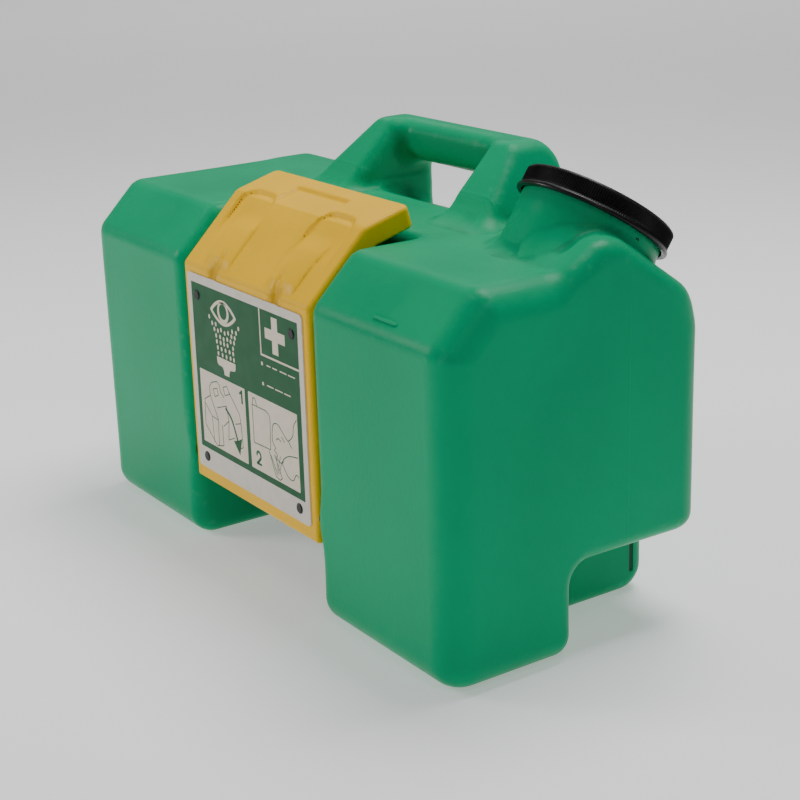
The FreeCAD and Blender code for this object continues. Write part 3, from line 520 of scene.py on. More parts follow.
class Finish:
    """A procedural material, with the parts it is wired from."""

    def __init__(self, name, **constants):
        self.material = bpy.data.materials.new(name)
        self.material.use_nodes = True
        self.tree = self.material.node_tree
        self.shader = self.tree.nodes["Principled BSDF"]
        self.place = self.node("ShaderNodeTexCoord", {}, output="Object")
        for socket, value in constants.items():
            self.shader.inputs[socket.replace("_", " ")].default_value = value

    def node(self, kind, feeds, output=0, **settings):
        """Add any node, with its settings and inputs, and give the output asked for."""
        made = self.tree.nodes.new(kind)
        for name, value in settings.items():
            setattr(made, name, value)
        for key, value in feeds.items():
            self.feed(made.inputs[key], value)
        return Signal(self, made.outputs[output])

    def feed(self, socket, value):
        if isinstance(value, Signal):
            self.tree.links.new(value.socket, socket)
        else:
            socket.default_value = value

    def noise(self, scale, detail, stretch=(1.0, 1.0, 1.0)):
        """Cloudy noise, scale features to the metre, drawn out along the axes whose stretch is small."""
        spot = self.node("ShaderNodeMapping", {"Vector": self.place, "Scale": stretch})
        return self.node("ShaderNodeTexNoise", {"Vector": spot, "Scale": scale, "Detail": detail})

    def axis(self, letter):
        """One coordinate of the point being shaded, in metres."""
        return self.node("ShaderNodeSeparateXYZ", {0: self.place}, output="XYZ".index(letter))

    def amount(self, name):
        """A number kept with the mesh's vertices."""
        return self.node("ShaderNodeAttribute", {}, output="Fac", attribute_name=name)

    def mix(self, factor, first, second):
        """Colour between two colours."""
        feeds = {0: factor, 6: first, 7: second}
        return self.node("ShaderNodeMix", feeds, output=2, data_type="RGBA", clamp_factor=True)

    def colour(self, value):
        self.feed(self.shader.inputs["Base Color"], value)

    def roughness(self, value):
        self.feed(self.shader.inputs["Roughness"], value)

    def relief(self, height, distance):
        """Small-scale height, as bumps of the given depth in metres."""
        bump = self.node("ShaderNodeBump", {"Strength": 1.0, "Distance": distance, "Height": height})
        self.feed(self.shader.inputs["Normal"], bump)


def shade(*display):
    """Linear colour from the red, green and blue of a display, each 0 to 255."""
    parts = [value / 255.0 for value in display]
    return (*(p / 12.92 if p <= 0.04045 else ((p + 0.055) / 1.055) ** 2.4 for p in parts), 1.0)


def toned(tone, factor, lift=0.0):
    """A linear colour made lighter or darker, and raised by the same amount in each channel."""
    return tuple(min(c * factor + lift, 1.0) for c in tone[:3]) + (1.0,)


def tank_finish(looks):
    """Satin blow-moulded plastic: mould grain, scuffed edges, painted shade in hollows, a parting line,
    grooves in the notches with painted shadow.
    """
    finish = Finish("tank_green_moulded", IOR=1.5, Specular_IOR_Level=0.09)
    base = tuple(looks.tank_colour)
    bend = finish.amount("bend")
    cloud = finish.noise(7.0, 4.0).between(0.3, 0.7)
    colour = finish.mix(cloud, toned(base, 0.93), toned(base, 1.06))
    worn = (bend.between(0.25, 0.9) * finish.noise(120.0, 5.0).between(0.5, 0.75)) * looks.wear
    colour = finish.mix(worn, colour, shade(90, 185, 145))
    scratch = finish.noise(60.0, 6.0, (1.0, 1.0, 0.06)).between(0.66, 0.72)
    patch = finish.noise(9.0, 2.0).between(0.5, 0.62)
    colour = finish.mix(scratch * patch * (0.35 * looks.wear), colour, shade(120, 195, 160))
    # painted shade: the concave hollows are darkened to a deep green of the tank's own hue, in noisy patches
    hollow_shade = (0.0 - bend).between(0.1, 0.8) * finish.noise(35.0, 4.0).between(0.35, 0.7)
    colour = finish.mix(hollow_shade * 0.35, colour, shade(14, 70, 48))
    height = finish.axis("Z")
    # painted shadow: each notch wall gets a dark green strip, the shadow inside the sunk line that the bump
    # below also cuts
    shadowed_groove = finish.axis("Y").near(0.1048, 0.0013, 0.0026)
    shadowed_groove = shadowed_groove * height.between(0.017, 0.020) * height.between(0.066, 0.070, 1.0, 0.0)
    shadowed_groove = shadowed_groove * finish.axis("X").size().near(0.2105, 0.002, 0.003)
    finish.colour(finish.mix(shadowed_groove * 0.85, colour, shade(4, 52, 32)))
    finish.roughness(finish.noise(28.0, 4.0).between(0.3, 0.7, 0.29, 0.37) + worn * 0.15)
    line = finish.axis("Y").near(0.043, 0.0004, 0.0013)
    grain = finish.noise(900.0, 2.0) * 0.35 + finish.noise(260.0, 3.0) * 0.5
    finish.relief(grain + line * 0.3 - shadowed_groove * 5.0, 0.0003)
    return finish.material


def arm_finish(looks):
    """Glossier moulded plastic: slight flow marks, painted shade in the hollows and pits, brown specks, pale
    rubbed edges.
    """
    finish = Finish("arm_yellow_moulded", IOR=1.5, Specular_IOR_Level=0.12)
    base = tuple(looks.arm_colour)
    bend = finish.amount("bend")
    flow = finish.noise(16.0, 4.0, (1.0, 1.0, 0.35)).between(0.3, 0.7)
    colour = finish.mix(flow, toned(base, 0.93), toned(base, 1.0))
    # painted shade: the hollows are painted a darker orange yellow, and they are also made rougher
    hollow = (0.0 - bend).between(0.02, 0.5)
    colour = finish.mix(hollow * 0.7, colour, shade(196, 138, 22))
    speck = finish.noise(420.0, 3.0).between(0.56, 0.7) * finish.noise(45.0, 2.0).between(0.45, 0.6)
    # brown specks all over, and painted shade in the pits at the feet of the channels, just under the fold
    # over the sign
    fold = finish.axis("Z").near(0.2525, 0.003, 0.010)
    beside = finish.axis("X").size().near(0.049, 0.004, 0.013)
    specks_and_pit_shade = speck * 0.10 + fold * beside * speck.at_least(0.35) * 0.8
    colour = finish.mix(specks_and_pit_shade, colour, shade(120, 84, 30))
    colour = finish.mix(bend.between(0.45, 1.0) * 0.12 * looks.wear, colour, shade(246, 220, 130))
    finish.colour(colour)
    finish.roughness(finish.noise(40.0, 4.0).between(0.3, 0.7, 0.30, 0.40) + hollow * 0.2)
    grain = finish.noise(700.0, 2.0) * 0.4 + finish.noise(120.0, 3.0) * 0.6
    finish.relief(grain, 0.00010)
    return finish.material


def print_finish(name, tone):
    """Satin printed plate: faint ink mottle and wiped streaks."""
    finish = Finish(name, IOR=1.48, Specular_IOR_Level=0.15)
    mottle = finish.noise(90.0, 4.0).between(0.3, 0.7)
    colour = finish.mix(mottle, toned(tone, 0.93), tone)
    streak = finish.noise(30.0, 4.0, (0.15, 1.0, 1.0)).between(0.62, 0.75)
    colour = finish.mix(streak * 0.10, colour, shade(170, 168, 160))
    finish.colour(colour)
    finish.roughness(finish.noise(60.0, 3.0).between(0.3, 0.7, 0.34, 0.44))
    finish.relief(finish.noise(500.0, 2.0), 0.00003)
    return finish.material


def dark_finish(name, tone, low, high, depth):
    """Dark plastic or rubber: dusty bloom over a mottled base, fine grain."""
    finish = Finish(name, IOR=1.5, Specular_IOR_Level=0.3)
    bloom = finish.noise(55.0, 5.0).between(0.42, 0.72)
    colour = finish.mix(bloom * 0.5, tone, toned(tone, 1.6, 0.003))
    rub = finish.noise(180.0, 4.0).between(0.6, 0.72)
    finish.colour(finish.mix(rub * 0.25, colour, toned(tone, 2.2, 0.008)))
    finish.roughness(finish.noise(75.0, 3.0).between(0.3, 0.7, low, high))
    finish.relief(finish.noise(1100.0, 2.0) * 0.6 + finish.noise(240.0, 2.0) * 0.4, depth)
    return finish.material


def pale_finish(name, tone, low, high):
    """Pale moulded plastic or foam: slight yellowing, dust and grain."""
    finish = Finish(name, IOR=1.5, Specular_IOR_Level=0.4)
    age = finish.noise(24.0, 4.0).between(0.3, 0.75)
    aged = tuple(c * f for c, f in zip(tone[:3], (0.95, 0.9, 0.78))) + (1.0,)
    colour = finish.mix(age * 0.35, tone, aged)
    dust = finish.noise(150.0, 5.0).between(0.58, 0.75)
    finish.colour(finish.mix(dust * 0.2, colour, shade(150, 145, 135)))
    finish.roughness(finish.noise(70.0, 3.0).between(0.3, 0.7, low, high))
    finish.relief(finish.noise(800.0, 2.0), 0.00006)
    return finish.material


def metal_finish(name, tone, low, high):
    """Metal with drawn scratches, dull spots and slightly uneven polish."""
    finish = Finish(name, Metallic=1.0)
    drawn = finish.noise(600.0, 4.0, (1.0, 0.08, 1.0)).between(0.35, 0.65)
    colour = finish.mix(drawn, toned(tone, 0.85), tone)
    spot = finish.noise(260.0, 4.0).between(0.6, 0.72)
    finish.colour(finish.mix(spot * 0.5, colour, toned(tone, 0.5)))
    finish.roughness(finish.noise(320.0, 4.0).between(0.3, 0.7, low, high) + spot * 0.2)
    finish.relief(drawn, 0.00002)
    return finish.material


def frame_finishes():
    """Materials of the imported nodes, by the name of their material slot."""
    return {
        "black_plastic": dark_finish("black_plastic_moulded", shade(10, 10, 10), 0.3, 0.44, 0.00005),
        "hose_rubber": dark_finish("hose_rubber_bloomed", shade(34, 35, 36), 0.55, 0.7, 0.00008),
        "soft_rubber": dark_finish("soft_rubber_bloomed", shade(40, 40, 41), 0.6, 0.75, 0.0001),
        "foam": pale_finish("foam_liner", shade(220, 215, 200), 0.75, 0.9),
        "white_plastic": pale_finish("white_plastic_moulded", shade(225, 224, 215), 0.34, 0.48),
        # painted shade: the nylon bushes get a near-black tone so that they pass for the shadow in the gap at
        # the hinge
        "nylon": dark_finish("nylon_shadow_dark", shade(30, 30, 30), 0.4, 0.55, 0.00004),
        "steel": metal_finish("steel_drawn", shade(190, 192, 195), 0.22, 0.36),
        "brass": metal_finish("brass_turned", shade(205, 170, 100), 0.24, 0.4),
    }


# ---------------------------------------------------------------- pieces

def build_tank(looks):
    low, high = (-TANK_HALF, -121.2, 0.0), (TANK_HALF, 127.0, 352.0)
    tank = moulded("tank_moulding", tank_field, low, high, looks.tank_step * 1000.0, tank_finish(looks))
    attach(tank, "tank")
    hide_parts("tank_shell")


def build_fill_mark(looks):
    """Raised bead across the front chamfer of the right lobe: a bar sunk into the face, with round ends."""
    along, around = 40, 12
    height = 264.4
    centre = np.array((194.0, -TANK_FACE + (height - CHAMFER_FOOT), height))
    uphill = np.array((0.0, DIAGONAL, DIAGONAL))
    outward = np.array((0.0, -DIAGONAL, DIAGONAL))
    half, radius, flatness = 15.0, 1.3, 0.62
    vertices = []
    for share in np.linspace(-1.0, 1.0, along):
        swell = radius * math.sqrt(max(1.0 - abs(share) ** 8, 0.0)) + 0.02
        for k in range(around):
            angle = 2.0 * math.pi * k / around
            offset = swell * (math.cos(angle) * uphill + flatness * math.sin(angle) * outward)
            vertices.append(centre + np.array((half * share, 0.0, 0.0)) + offset)
    faces = []
    for row in range(along - 1):
        for k in range(around):
            a, b = row * around + k, row * around + (k + 1) % around
            faces.append((a, a + around, b + around, b))
    faces.append(tuple(range(around)))
    faces.append(tuple(reversed(range((along - 1) * around, along * around))))
    green = bpy.data.materials["tank_green_moulded"]
    mark = mesh_from("fill_mark", vertices, faces, green, bend=np.zeros(along * around))
    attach(mark, "tank")


def build_arm(looks):
    low, high = (-ARM_HALF, -122.0, 57.0), (ARM_HALF, -17.0, 320.0)
    arm = moulded("arm_moulding", arm_field, low, high, looks.arm_step * 1000.0, arm_finish(looks))
    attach(arm, "arm")
    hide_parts("arm_shell")


# The sign's drawings as (x, z): the middles of the eye's drops, and lines through points.
DROPLETS = (
    (-55.9, 214.7), (-51.4, 210.0), (-45.5, 210.2), (-48.3, 205.5), (-42.4, 205.3), (-37.0, 207.0),
    (-31.1, 205.5), (-25.1, 207.0), (-18.2, 209.8), (-7.5, 214.6), (-11.9, 209.9), (-45.9, 200.5),
    (-39.2, 200.7), (-33.4, 199.9), (-27.2, 201.1), (-19.9, 205.3), (-14.4, 205.1), (-45.4, 195.5),
    (-39.0, 195.7), (-33.1, 195.8), (-27.3, 196.0), (-21.8, 200.5), (-16.1, 200.6), (-44.3, 190.6),
    (-38.0, 190.4), (-31.3, 190.7), (-24.6, 191.0), (-18.3, 195.4), (-18.6, 190.8), (-43.9, 185.6),
    (-36.9, 185.6), (-30.3, 185.5), (-23.6, 185.8), (-18.0, 185.7),
)
STATION_LINES = (
    ((-73.5, 138.5), (-63, 144), (-51.5, 125.5), (-52.5, 102), (-56, 101), (-74.5, 115.5),
     (-73.5, 138.5)),
    ((-73, 135), (-62, 126), (-60.5, 103)), ((-62, 126), (-52, 125)),
    ((-63, 144), (-63.5, 152), (-59.5, 156.5), (-50, 159.5), (-46, 157), (-45, 152),
     (-39, 148)),
    ((-57.5, 151), (-50.5, 153.5), (-48.5, 148), (-55, 145), (-57.5, 151)),
    ((-52, 136), (-36, 141.5), (-33, 129), (-42.5, 122)),
    ((-40, 157), (-33, 159.5), (-29.5, 153.5), (-37, 150.5), (-40, 157)),
    ((-30, 155), (-14, 140), (-12.5, 132.5), (-22, 129.5)),
    ((-12.5, 132.5), (-11, 112), (-15.5, 110)),
    ((-33, 129), (-35, 112), (-24.5, 116.5)), ((-45, 122.5), (-44.5, 104), (-52.5, 102)),
)
BOTTLE_LINES = (
    ((7.9, 154.9), (29, 155), (33.8, 153.4), (35.8, 150.5), (34.4, 123.4), (8.2, 122.4), (7.9, 154.9)),
    ((8.5, 155), (9.5, 161), (13, 161), (15.5, 155.5)),
    ((31.5, 122.5), (41, 102.5), (47, 101), (50.5, 103.5), (40, 121)),
    ((34, 119), (44, 104)),
)
FACE_LINES = (
    ((38, 138.8), (40.5, 146.5), (47, 148.5), (53.5, 144.5), (60, 139.5), (63.7, 139.2), (70, 145),
     (72, 153.5), (76.8, 160)),
    ((38, 138.8), (38.5, 131), (42.2, 127.3), (40.5, 124.5), (44.5, 122), (44, 118.5), (50, 116.5),
     (55, 121.5), (63, 126), (76.5, 128.5)),
    ((44, 134.5), (47.5, 136.5), (51.5, 135)), ((52.5, 139.5), (57, 136)),
    ((63, 139), (67.5, 134)),
    ((52, 116), (60, 108), (67.5, 107), (72.5, 113), (76.5, 112)),
)
JET_LINES = (
    ((44.5, 106.5), (47, 116.5), (49.5, 122)), ((46.5, 106), (49.5, 114.5), (54, 119)),
    ((43, 107.5), (43.5, 116), (42, 121)),
)


def lid(start, width, level, rise, fullness, shares):
    """One lid of the eye: an arch from a start across a width, at shares of that width."""
    return [(start + width * t, level + rise * math.sin(math.pi * t) ** fullness) for t in shares]


def sign_art():
    """Shapes printed on the sign: white on the green field, then green on the two light panels."""
    white = [[[(26.6, 239.6), (28.2, 239.6), (28.2, 202.6), (84.4, 202.6), (84.4, 200.9), (26.6, 200.9)]]]
    cross = [(45.6, 236.2), (54.4, 236.2), (54.4, 225.6), (65.0, 225.6), (65.0, 216.8), (54.4, 216.8),
             (54.4, 206.2), (45.6, 206.2), (45.6, 216.8), (35.0, 216.8), (35.0, 225.6), (45.6, 225.6)]
    white.append([cross])
    shares = np.linspace(0.0, 1.0, 25)
    white.append([
        lid(-53.5, 43.0, 221.8, 11.2, 0.85, shares) + lid(-10.5, -43.0, 221.8, -10.4, 0.85, shares[1:-1]),
        lid(-49.4, 34.8, 221.9, 8.3, 0.9, shares) + lid(-14.6, -34.8, 221.7, -7.6, 0.9, shares[1:-1]),
    ])
    white.append([oval(-32.0, 222.6, 9.4, 8.9, 32), oval(-32.0, 223.4, 6.4, 6.6, 32)])
    for x, z in DROPLETS:
        white.append([oval(x, z, 1.4, 2.0, 12)])
    spray_head = [(-46.8, 182.6), (-16.0, 182.6), (-16.4, 177.4), (-18.5, 175.6), (-25.2, 175.0),
                  (-27.0, 172.5), (-27.6, 168.8), (-35.4, 168.8), (-36.0, 172.5), (-38.0, 175.0),
                  (-44.6, 175.6), (-46.5, 177.6)]
    white.append([spray_head])
    white.append([panel(-79.0, 99.6, -3.4, 164.8)])
    white.append([panel(2.3, 99.6, 77.8, 164.8)])
    for z, marks in ((194.2, ((35.0, 41.0), (44.0, 51.0), (55.0, 65.5), (67.5, 78.0))),
                     (177.4, ((34.0, 44.0), (46.5, 58.0), (60.0, 70.0)))):
        white.append([panel(26.6, z - 1.4, 29.2, z + 1.4, 0.3)])
        for left, right in marks:
            white.append([panel(left, z - 0.5, right, z + 0.5, 0.3)])
    green = []
    for lines, width in ((STATION_LINES, 0.8), (BOTTLE_LINES, 0.8), (JET_LINES, 0.6)):
        for line in lines:
            for start, end in zip(line, line[1:]):
                green.append(stroke([start, end], width))
    for line in FACE_LINES:
        green.append(stroke(curve_through(line), 0.85))
    arrow = curve_through([(-37.7, 139.4), (-28.5, 132.5), (-22.8, 122.5), (-19.4, 114.5)])
    green.append(stroke(arrow, 2.4))
    green.append([[(-26.6, 113.6), (-19.4, 115.6), (-12.1, 119.4), (-16.9, 103.6)]])
    green.append([[(-9.3, 162.6), (-7.2, 162.6), (-7.2, 150.6), (-9.7, 150.6), (-9.7, 158.8), (-12.6, 157.8),
                   (-12.6, 159.8), (-10.6, 160.7)]])
    two = [(11.2, 112.2), (12.4, 115.2), (15.4, 115.6), (17.6, 113.2), (16.8, 110.0), (11.6, 105.4)]
    green.append(stroke(curve_through(two), 2.3))
    green.append([[(10.6, 104.4), (18.9, 104.4), (18.9, 106.3), (10.6, 106.3)]])
    return white, green


def build_sign(looks):
    ink = print_finish("sign_ink_green", shade(20, 92, 52))
    pale = print_finish("sign_ink_white", shade(234, 222, 202))
    white, green = sign_art()
    field = [[panel(-84.5, 93.9, 84.5, 239.6, 0.5)]]
    layers = (("sign_field", field, ink), ("sign_white_print", white, pale), ("sign_line_print", green, ink))
    thickness, rise = 0.06, 0.05
    for number, (name, shapes, finish) in enumerate(layers):
        piece = slab(name, shapes, SIGN_FACE - rise * number, thickness, finish)
        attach(piece, "arm")
    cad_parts["placard"].material_slots[0].material = print_finish("sign_plate", shade(226, 218, 206))


def build_neck_thread(looks):
    """Sealing lip of the neck with its screw thread: the wall swells by a hump that climbs 9 mm a turn."""
    wall = [(54.2, -4.0 + 17.0 * i / 34.0) for i in range(35)]
    lip = [(53.6, 13.5), (52.6, 13.7), (48.0, 13.7), (47.0, 13.2), (46.6, 12.0), (46.6, -6.0), (52.0, -6.0)]
    profile = wall + lip

    def thread(angle, row):
        if row >= len(wall):
            return 0.0
        height = profile[row][1]
        wave = np.cos(angle - 2.0 * math.pi * height / THREAD_PITCH)
        fade = float(step_up(height, -1.0, 2.0) * (1.0 - step_up(height, 10.0, 12.5)))
        return 2.4 * np.maximum(wave, 0.0) ** 5 * fade

    vertices, faces = turned(profile, 256, thread)
    green = bpy.data.materials["tank_green_moulded"]
    neck = mesh_from("neck_thread", vertices, faces, green, sharp=40.0, bend=np.zeros(len(vertices)))
    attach(neck, "tank")


def build_vent(looks):
    """Dark mouth of the pin-size vent that lets air in just under the cap, as a flat plug in the neck."""
    turn = math.radians(-2.0)
    outward = np.array((math.cos(turn), 0.0, 0.0)) + math.sin(turn) * np.cross(NECK_AXIS, (1.0, 0.0, 0.0))
    across = np.cross(outward, NECK_AXIS)
    centre = NECK - 5.0 * NECK_AXIS
    sides = 20
    angle = np.arange(sides) * 2.0 * math.pi / sides
    radius, buried, shown = 1.6, 55.0, 56.12
    ring = radius * (np.cos(angle)[:, None] * across + np.sin(angle)[:, None] * NECK_AXIS)
    vertices = np.concatenate((centre + buried * outward + ring, centre + shown * outward + ring))
    faces = [tuple(reversed(range(sides))), tuple(range(sides, 2 * sides))]
    faces += [(k, (k + 1) % sides, (k + 1) % sides + sides, k + sides) for k in range(sides)]
    finish = dark_finish("vent_shadow", shade(8, 22, 16), 0.7, 0.9, 0.00003)
    vent = mesh_from("neck_vent", vertices, faces, finish, sharp=40.0)
    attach(vent, "tank")


def cap_profile():
    """Section of the screw cap from its rim up, over the top and down its bore, as (radius, height) pairs.

    Also gives the number of the wall's first row and of the row after its last one.
    """
    bead = [(57.5, 0.3), (57.8, 0.0), (60.6, 0.0), (61.2, 0.35), (61.5, 1.0), (61.5, 2.1), (61.2, 2.8),
            (60.5, 3.2)]
    wall = [(60.0, 3.7)] + [(60.0, 4.2 + 11.0 * i / 6.0) for i in range(7)]
    crown = [(59.8, 16.1), (59.2, 16.9), (58.2, 17.5), (56.8, 17.7), (55.0, 17.5), (54.0, 17.1), (52.0, 17.0),
             (34.0, 17.0), (33.0, 17.2), (31.6, 17.2), (30.6, 17.0), (10.0, 17.0), (0.05, 17.0)]
    under = [(0.05, 15.3), (30.0, 15.3), (57.0, 15.3), (57.5, 14.8), (57.5, 8.0)]
    return bead + wall + crown + under, len(bead), len(bead) + len(wall)


def build_cap(looks):
    """Ribbed cap: its profile turned about the neck's axis, the wall's radius dipping between the ribs."""
    profile, first, last = cap_profile()

    def ripple(angle, row):
        depth = 0.8 if first < row < last else 0.0
        return -depth * (0.5 - 0.5 * np.cos(looks.cap_ribs * angle)) ** 0.7

    vertices, faces = turned(profile, looks.cap_ribs * 6, ripple)
    finish = dark_finish("cap_black_ribbed", shade(14, 13, 12), 0.26, 0.36, 0.00003)
    cap = mesh_from("cap_moulding", vertices, faces, finish, sharp=50.0)
    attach(cap, "cap")
    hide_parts("fill_cap")


# Control points of both hoses as (y, z), from the tank's outlet to the spray head.
HOSE_ROUTE = (
    (-14.35, 28.0), (-46.35, 29.0), (-80.0, 46.0), (-103.0, 72.0), (-105.0, 112.0), (-103.0, 160.0),
    (-97.0, 208.0), (-83.8, 236.0), (-83.8, 252.0),
)


def hose_path(x):
    """Smooth line of a hose, read from a NURBS spline whose control points are the route."""
    curve = bpy.data.curves.new("hose_route", "CURVE")
    curve.dimensions = "3D"
    spline = curve.splines.new("NURBS")
    spline.points.add(len(HOSE_ROUTE) - 1)
    for point, (y, z) in zip(spline.points, HOSE_ROUTE):
        point.co = (x, y, z, 1.0)
    spline.order_u = 3
    spline.use_endpoint_u = True
    spline.resolution_u = 12
    carrier = bpy.data.objects.new("hose_route", curve)
    line = bpy.data.meshes.new_from_object(carrier)
    path = np.array([v.co for v in line.vertices], dtype=float)
    bpy.data.objects.remove(carrier)
    bpy.data.curves.remove(curve)
    bpy.data.meshes.remove(line)
    return path


def build_hoses(looks):
    """Smooth rubber hoses between the tank and the arm."""
    finish = dark_finish("hose_rubber_moulded", shade(30, 31, 32), 0.5, 0.66, 0.00008)
    for name, x in (("left_hose", -HOSE_X), ("right_hose", HOSE_X)):
        vertices, faces = tube(hose_path(x), 7.5, 5.05, 28)
        hose = mesh_from(f"{name}_tube", vertices, faces, finish, sharp=50.0)
        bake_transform(hose)
        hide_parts(name)


def finish_frame_nodes(looks):
    """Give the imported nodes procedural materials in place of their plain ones."""
    finishes = frame_finishes()
    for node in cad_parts.values():
        for holder in node.material_slots:
            plain = holder.material.name.split(".")[0]
            if plain in finishes:
                holder.material = finishes[plain]


# ---------------------------------------------------------------- stage

def build_stage(looks):
    """Pale floor, large soft lights and the camera."""
    half = 30000.0
    corners = ((-half, -half, 0.0), (half, -half, 0.0), (half, half, 0.0), (-half, half, 0.0))
    mesh_from("floor", corners, [(0, 1, 2, 3)], floor_finish())
    world = bpy.data.worlds.new("studio")
    world.use_nodes = True
    background = world.node_tree.nodes["Background"]
    background.inputs["Color"].default_value = (0.95, 0.97, 1.0, 1.0)
    background.inputs["Strength"].default_value = looks.ambient
    bpy.context.scene.world = world
    soft_light("key", (-1.5, -1.7, 1.1), 0.8, looks.key_power)
    soft_light("overhead", (0.0, 0.55, 1.9), 1.0, looks.top_power)
    soft_light("fill", (1.5, -0.6, 1.9), 0.6, looks.fill_power)
    soft_light("rear", (-4.2, 3.2, 3.4), 4.0, looks.rear_power, (-5.0, 3.8, 0.0))
    camera = bpy.data.cameras.new("camera")
    camera.lens = 76.49
    camera.sensor_width = 36.0
    camera.shift_x = 0.0603
    camera.shift_y = -0.0142
    camera.clip_start = 0.05
    holder = add_object("camera", camera)
    azimuth, rise, roll = math.radians(57.43), math.radians(18.26), math.radians(-2.23)
    back = Vector((math.sin(azimuth) * math.cos(rise), -math.cos(azimuth) * math.cos(rise), math.sin(rise)))
    right = Vector((math.cos(azimuth), math.sin(azimuth), 0.0))
    up = back.cross(right)
    rolled_right = right * math.cos(roll) + up * math.sin(roll)
    rolled_up = up * math.cos(roll) - right * math.sin(roll)
    spot = (1.14539, -0.751, 0.59309)
    aim = Matrix((rolled_right, rolled_up, back)).transposed().to_4x4()
    holder.matrix_world = Matrix.Translation(spot) @ aim
    bpy.context.scene.camera = holder


def floor_finish():
    """Pale matt paper with the faintest mottle."""
    white = (1.0, 1.0, 1.0, 1.0)
    finish = Finish("floor_paper", Specular_IOR_Level=0.2, Emission_Color=white, Emission_Strength=0.36)
    finish.colour(finish.mix(finish.noise(3.0, 3.0), shade(238, 238, 238), shade(246, 246, 246)))
    finish.roughness(finish.noise(20.0, 2.0).between(0.2, 0.8, 0.7, 0.8))
    return finish.material


def soft_light(name, spot, size, power, target=(0.0, 0.0, 0.18)):
    """Square area light that faces a target, which is the middle of the object unless another is given."""
    light = bpy.data.lights.new(name, "AREA")
    light.size = size
    light.energy = power
    holder = add_object(name, light)
    holder.location = spot
    holder.rotation_euler = (Vector(target) - Vector(spot)).to_track_quat("-Z", "Y").to_euler()


# ---------------------------------------------------------------- add-on

def grid_step(name, description, default, least):
    return bpy.props.FloatProperty(
        name=name, description=description, default=default, min=least, unit="LENGTH")


def moulded_colour(name, description, default):
    return bpy.props.FloatVectorProperty(
        name=name, description=description, default=default, subtype="COLOR")


def light_power(name, description, default):
    return bpy.props.FloatProperty(
        name=name, description=description, default=default, min=0.0, unit="POWER")


class EYEWASH_PG_looks(bpy.types.PropertyGroup):
    """What can be set before the pieces are built."""

    tank_step: grid_step("Tank mesh step", "Grid step of the tank's surface", 0.0034, 0.002)
    arm_step: grid_step("Arm mesh step", "Grid step of the arm's surface", 0.0018, 0.001)
    tank_colour: moulded_colour("Tank colour", "Moulded colour of the tank", (0.0, 0.36, 0.155))
    arm_colour: moulded_colour("Arm colour", "Moulded colour of the arm", (1.0, 0.57, 0.01))
    wear: bpy.props.FloatProperty(
        name="Wear", description="How rubbed the edges are", default=0.2, min=0.0, max=1.0, subtype="FACTOR")
    cap_ribs: bpy.props.IntProperty(
        name="Cap ribs", description="Number of ribs round the cap", default=200, min=12)
    ambient: bpy.props.FloatProperty(
        name="Ambient light", description="Strength of the light from all round", default=0.14, min=0.0)
    key_power: light_power("Key light", "Power of the light in front, on the left", 20.0)
    top_power: light_power("Overhead light", "Power of the light above the object", 30.0)
    fill_power: light_power("Fill light", "Power of the light on the right", 4.0)
    rear_power: light_power("Rear light", "Power of the light behind the object", 70.0)


class EyewashOperator:
    """What the operators share: they build their pieces from the scene's settings."""

    bl_options = {"REGISTER", "UNDO"}

    def execute(self, context):
        for build in self.builders:
            build(context.scene.eyewash_looks)
        return {"FINISHED"}


class EYEWASH_OT_tank(EyewashOperator, bpy.types.Operator):
    """Build the tank with its handle and neck, and the fill mark"""

    bl_idname = "eyewash.tank"
    bl_label = "Tank"
    builders = (build_tank, build_neck_thread, build_vent, build_fill_mark)


class EYEWASH_OT_arm(EyewashOperator, bpy.types.Operator):
    """Build the pull-down arm"""

    bl_idname = "eyewash.arm"
    bl_label = "Arm"
    builders = (build_arm,)


class EYEWASH_OT_sign(EyewashOperator, bpy.types.Operator):
    """Build the print on the sign"""

    bl_idname = "eyewash.sign"
    bl_label = "Sign"
    builders = (build_sign,)


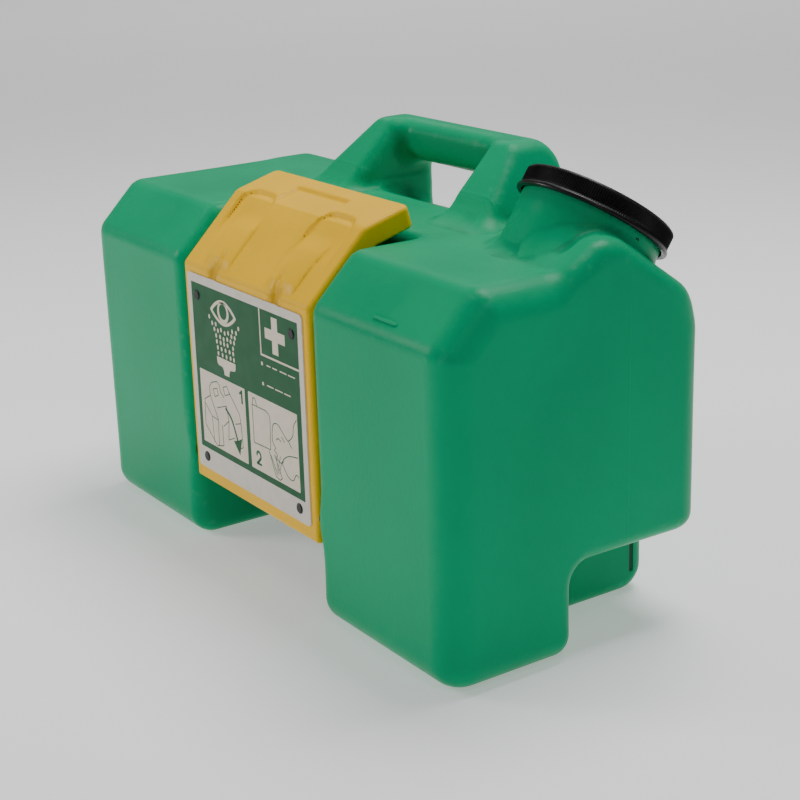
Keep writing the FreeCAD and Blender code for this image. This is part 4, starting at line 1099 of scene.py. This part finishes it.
class EYEWASH_OT_cap(EyewashOperator, bpy.types.Operator):
    """Build the ribbed screw cap"""

    bl_idname = "eyewash.cap"
    bl_label = "Cap"
    builders = (build_cap,)


class EYEWASH_OT_hoses(EyewashOperator, bpy.types.Operator):
    """Build the two hoses"""

    bl_idname = "eyewash.hoses"
    bl_label = "Hoses"
    builders = (build_hoses,)


class EYEWASH_OT_small_parts(EyewashOperator, bpy.types.Operator):
    """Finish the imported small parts"""

    bl_idname = "eyewash.small_parts"
    bl_label = "Small parts"
    builders = (finish_frame_nodes,)


class EYEWASH_OT_stage(EyewashOperator, bpy.types.Operator):
    """Set up the floor, the lights and the camera"""

    bl_idname = "eyewash.stage"
    bl_label = "Stage"
    builders = (build_stage,)


OPERATORS = (EYEWASH_OT_tank, EYEWASH_OT_arm, EYEWASH_OT_sign, EYEWASH_OT_cap, EYEWASH_OT_hoses,
             EYEWASH_OT_small_parts, EYEWASH_OT_stage)


class EYEWASH_PT_looks(bpy.types.Panel):
    """Settings and build buttons in the sidebar."""

    bl_label = "Eyewash Station"
    bl_idname = "EYEWASH_PT_looks"
    bl_space_type = "VIEW_3D"
    bl_region_type = "UI"
    bl_category = "Eyewash"

    def draw(self, context):
        looks = context.scene.eyewash_looks
        for name in looks.bl_rna.properties.keys():
            if name not in ("rna_type", "name"):
                self.layout.prop(looks, name)
        for operator in OPERATORS:
            self.layout.operator(operator.bl_idname)


CLASSES = (EYEWASH_PG_looks,) + OPERATORS + (EYEWASH_PT_looks,)


def register():
    for one in CLASSES:
        bpy.utils.register_class(one)
    bpy.types.Scene.eyewash_looks = bpy.props.PointerProperty(type=EYEWASH_PG_looks)


def unregister():
    del bpy.types.Scene.eyewash_looks
    for one in reversed(CLASSES):
        bpy.utils.unregister_class(one)


def main():
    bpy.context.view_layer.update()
    register()
    bpy.ops.eyewash.tank()
    bpy.ops.eyewash.arm()
    bpy.ops.eyewash.sign()
    bpy.ops.eyewash.cap()
    bpy.ops.eyewash.hoses()
    bpy.ops.eyewash.small_parts()
    bpy.ops.eyewash.stage()


if __name__ == "__main__":
    main()
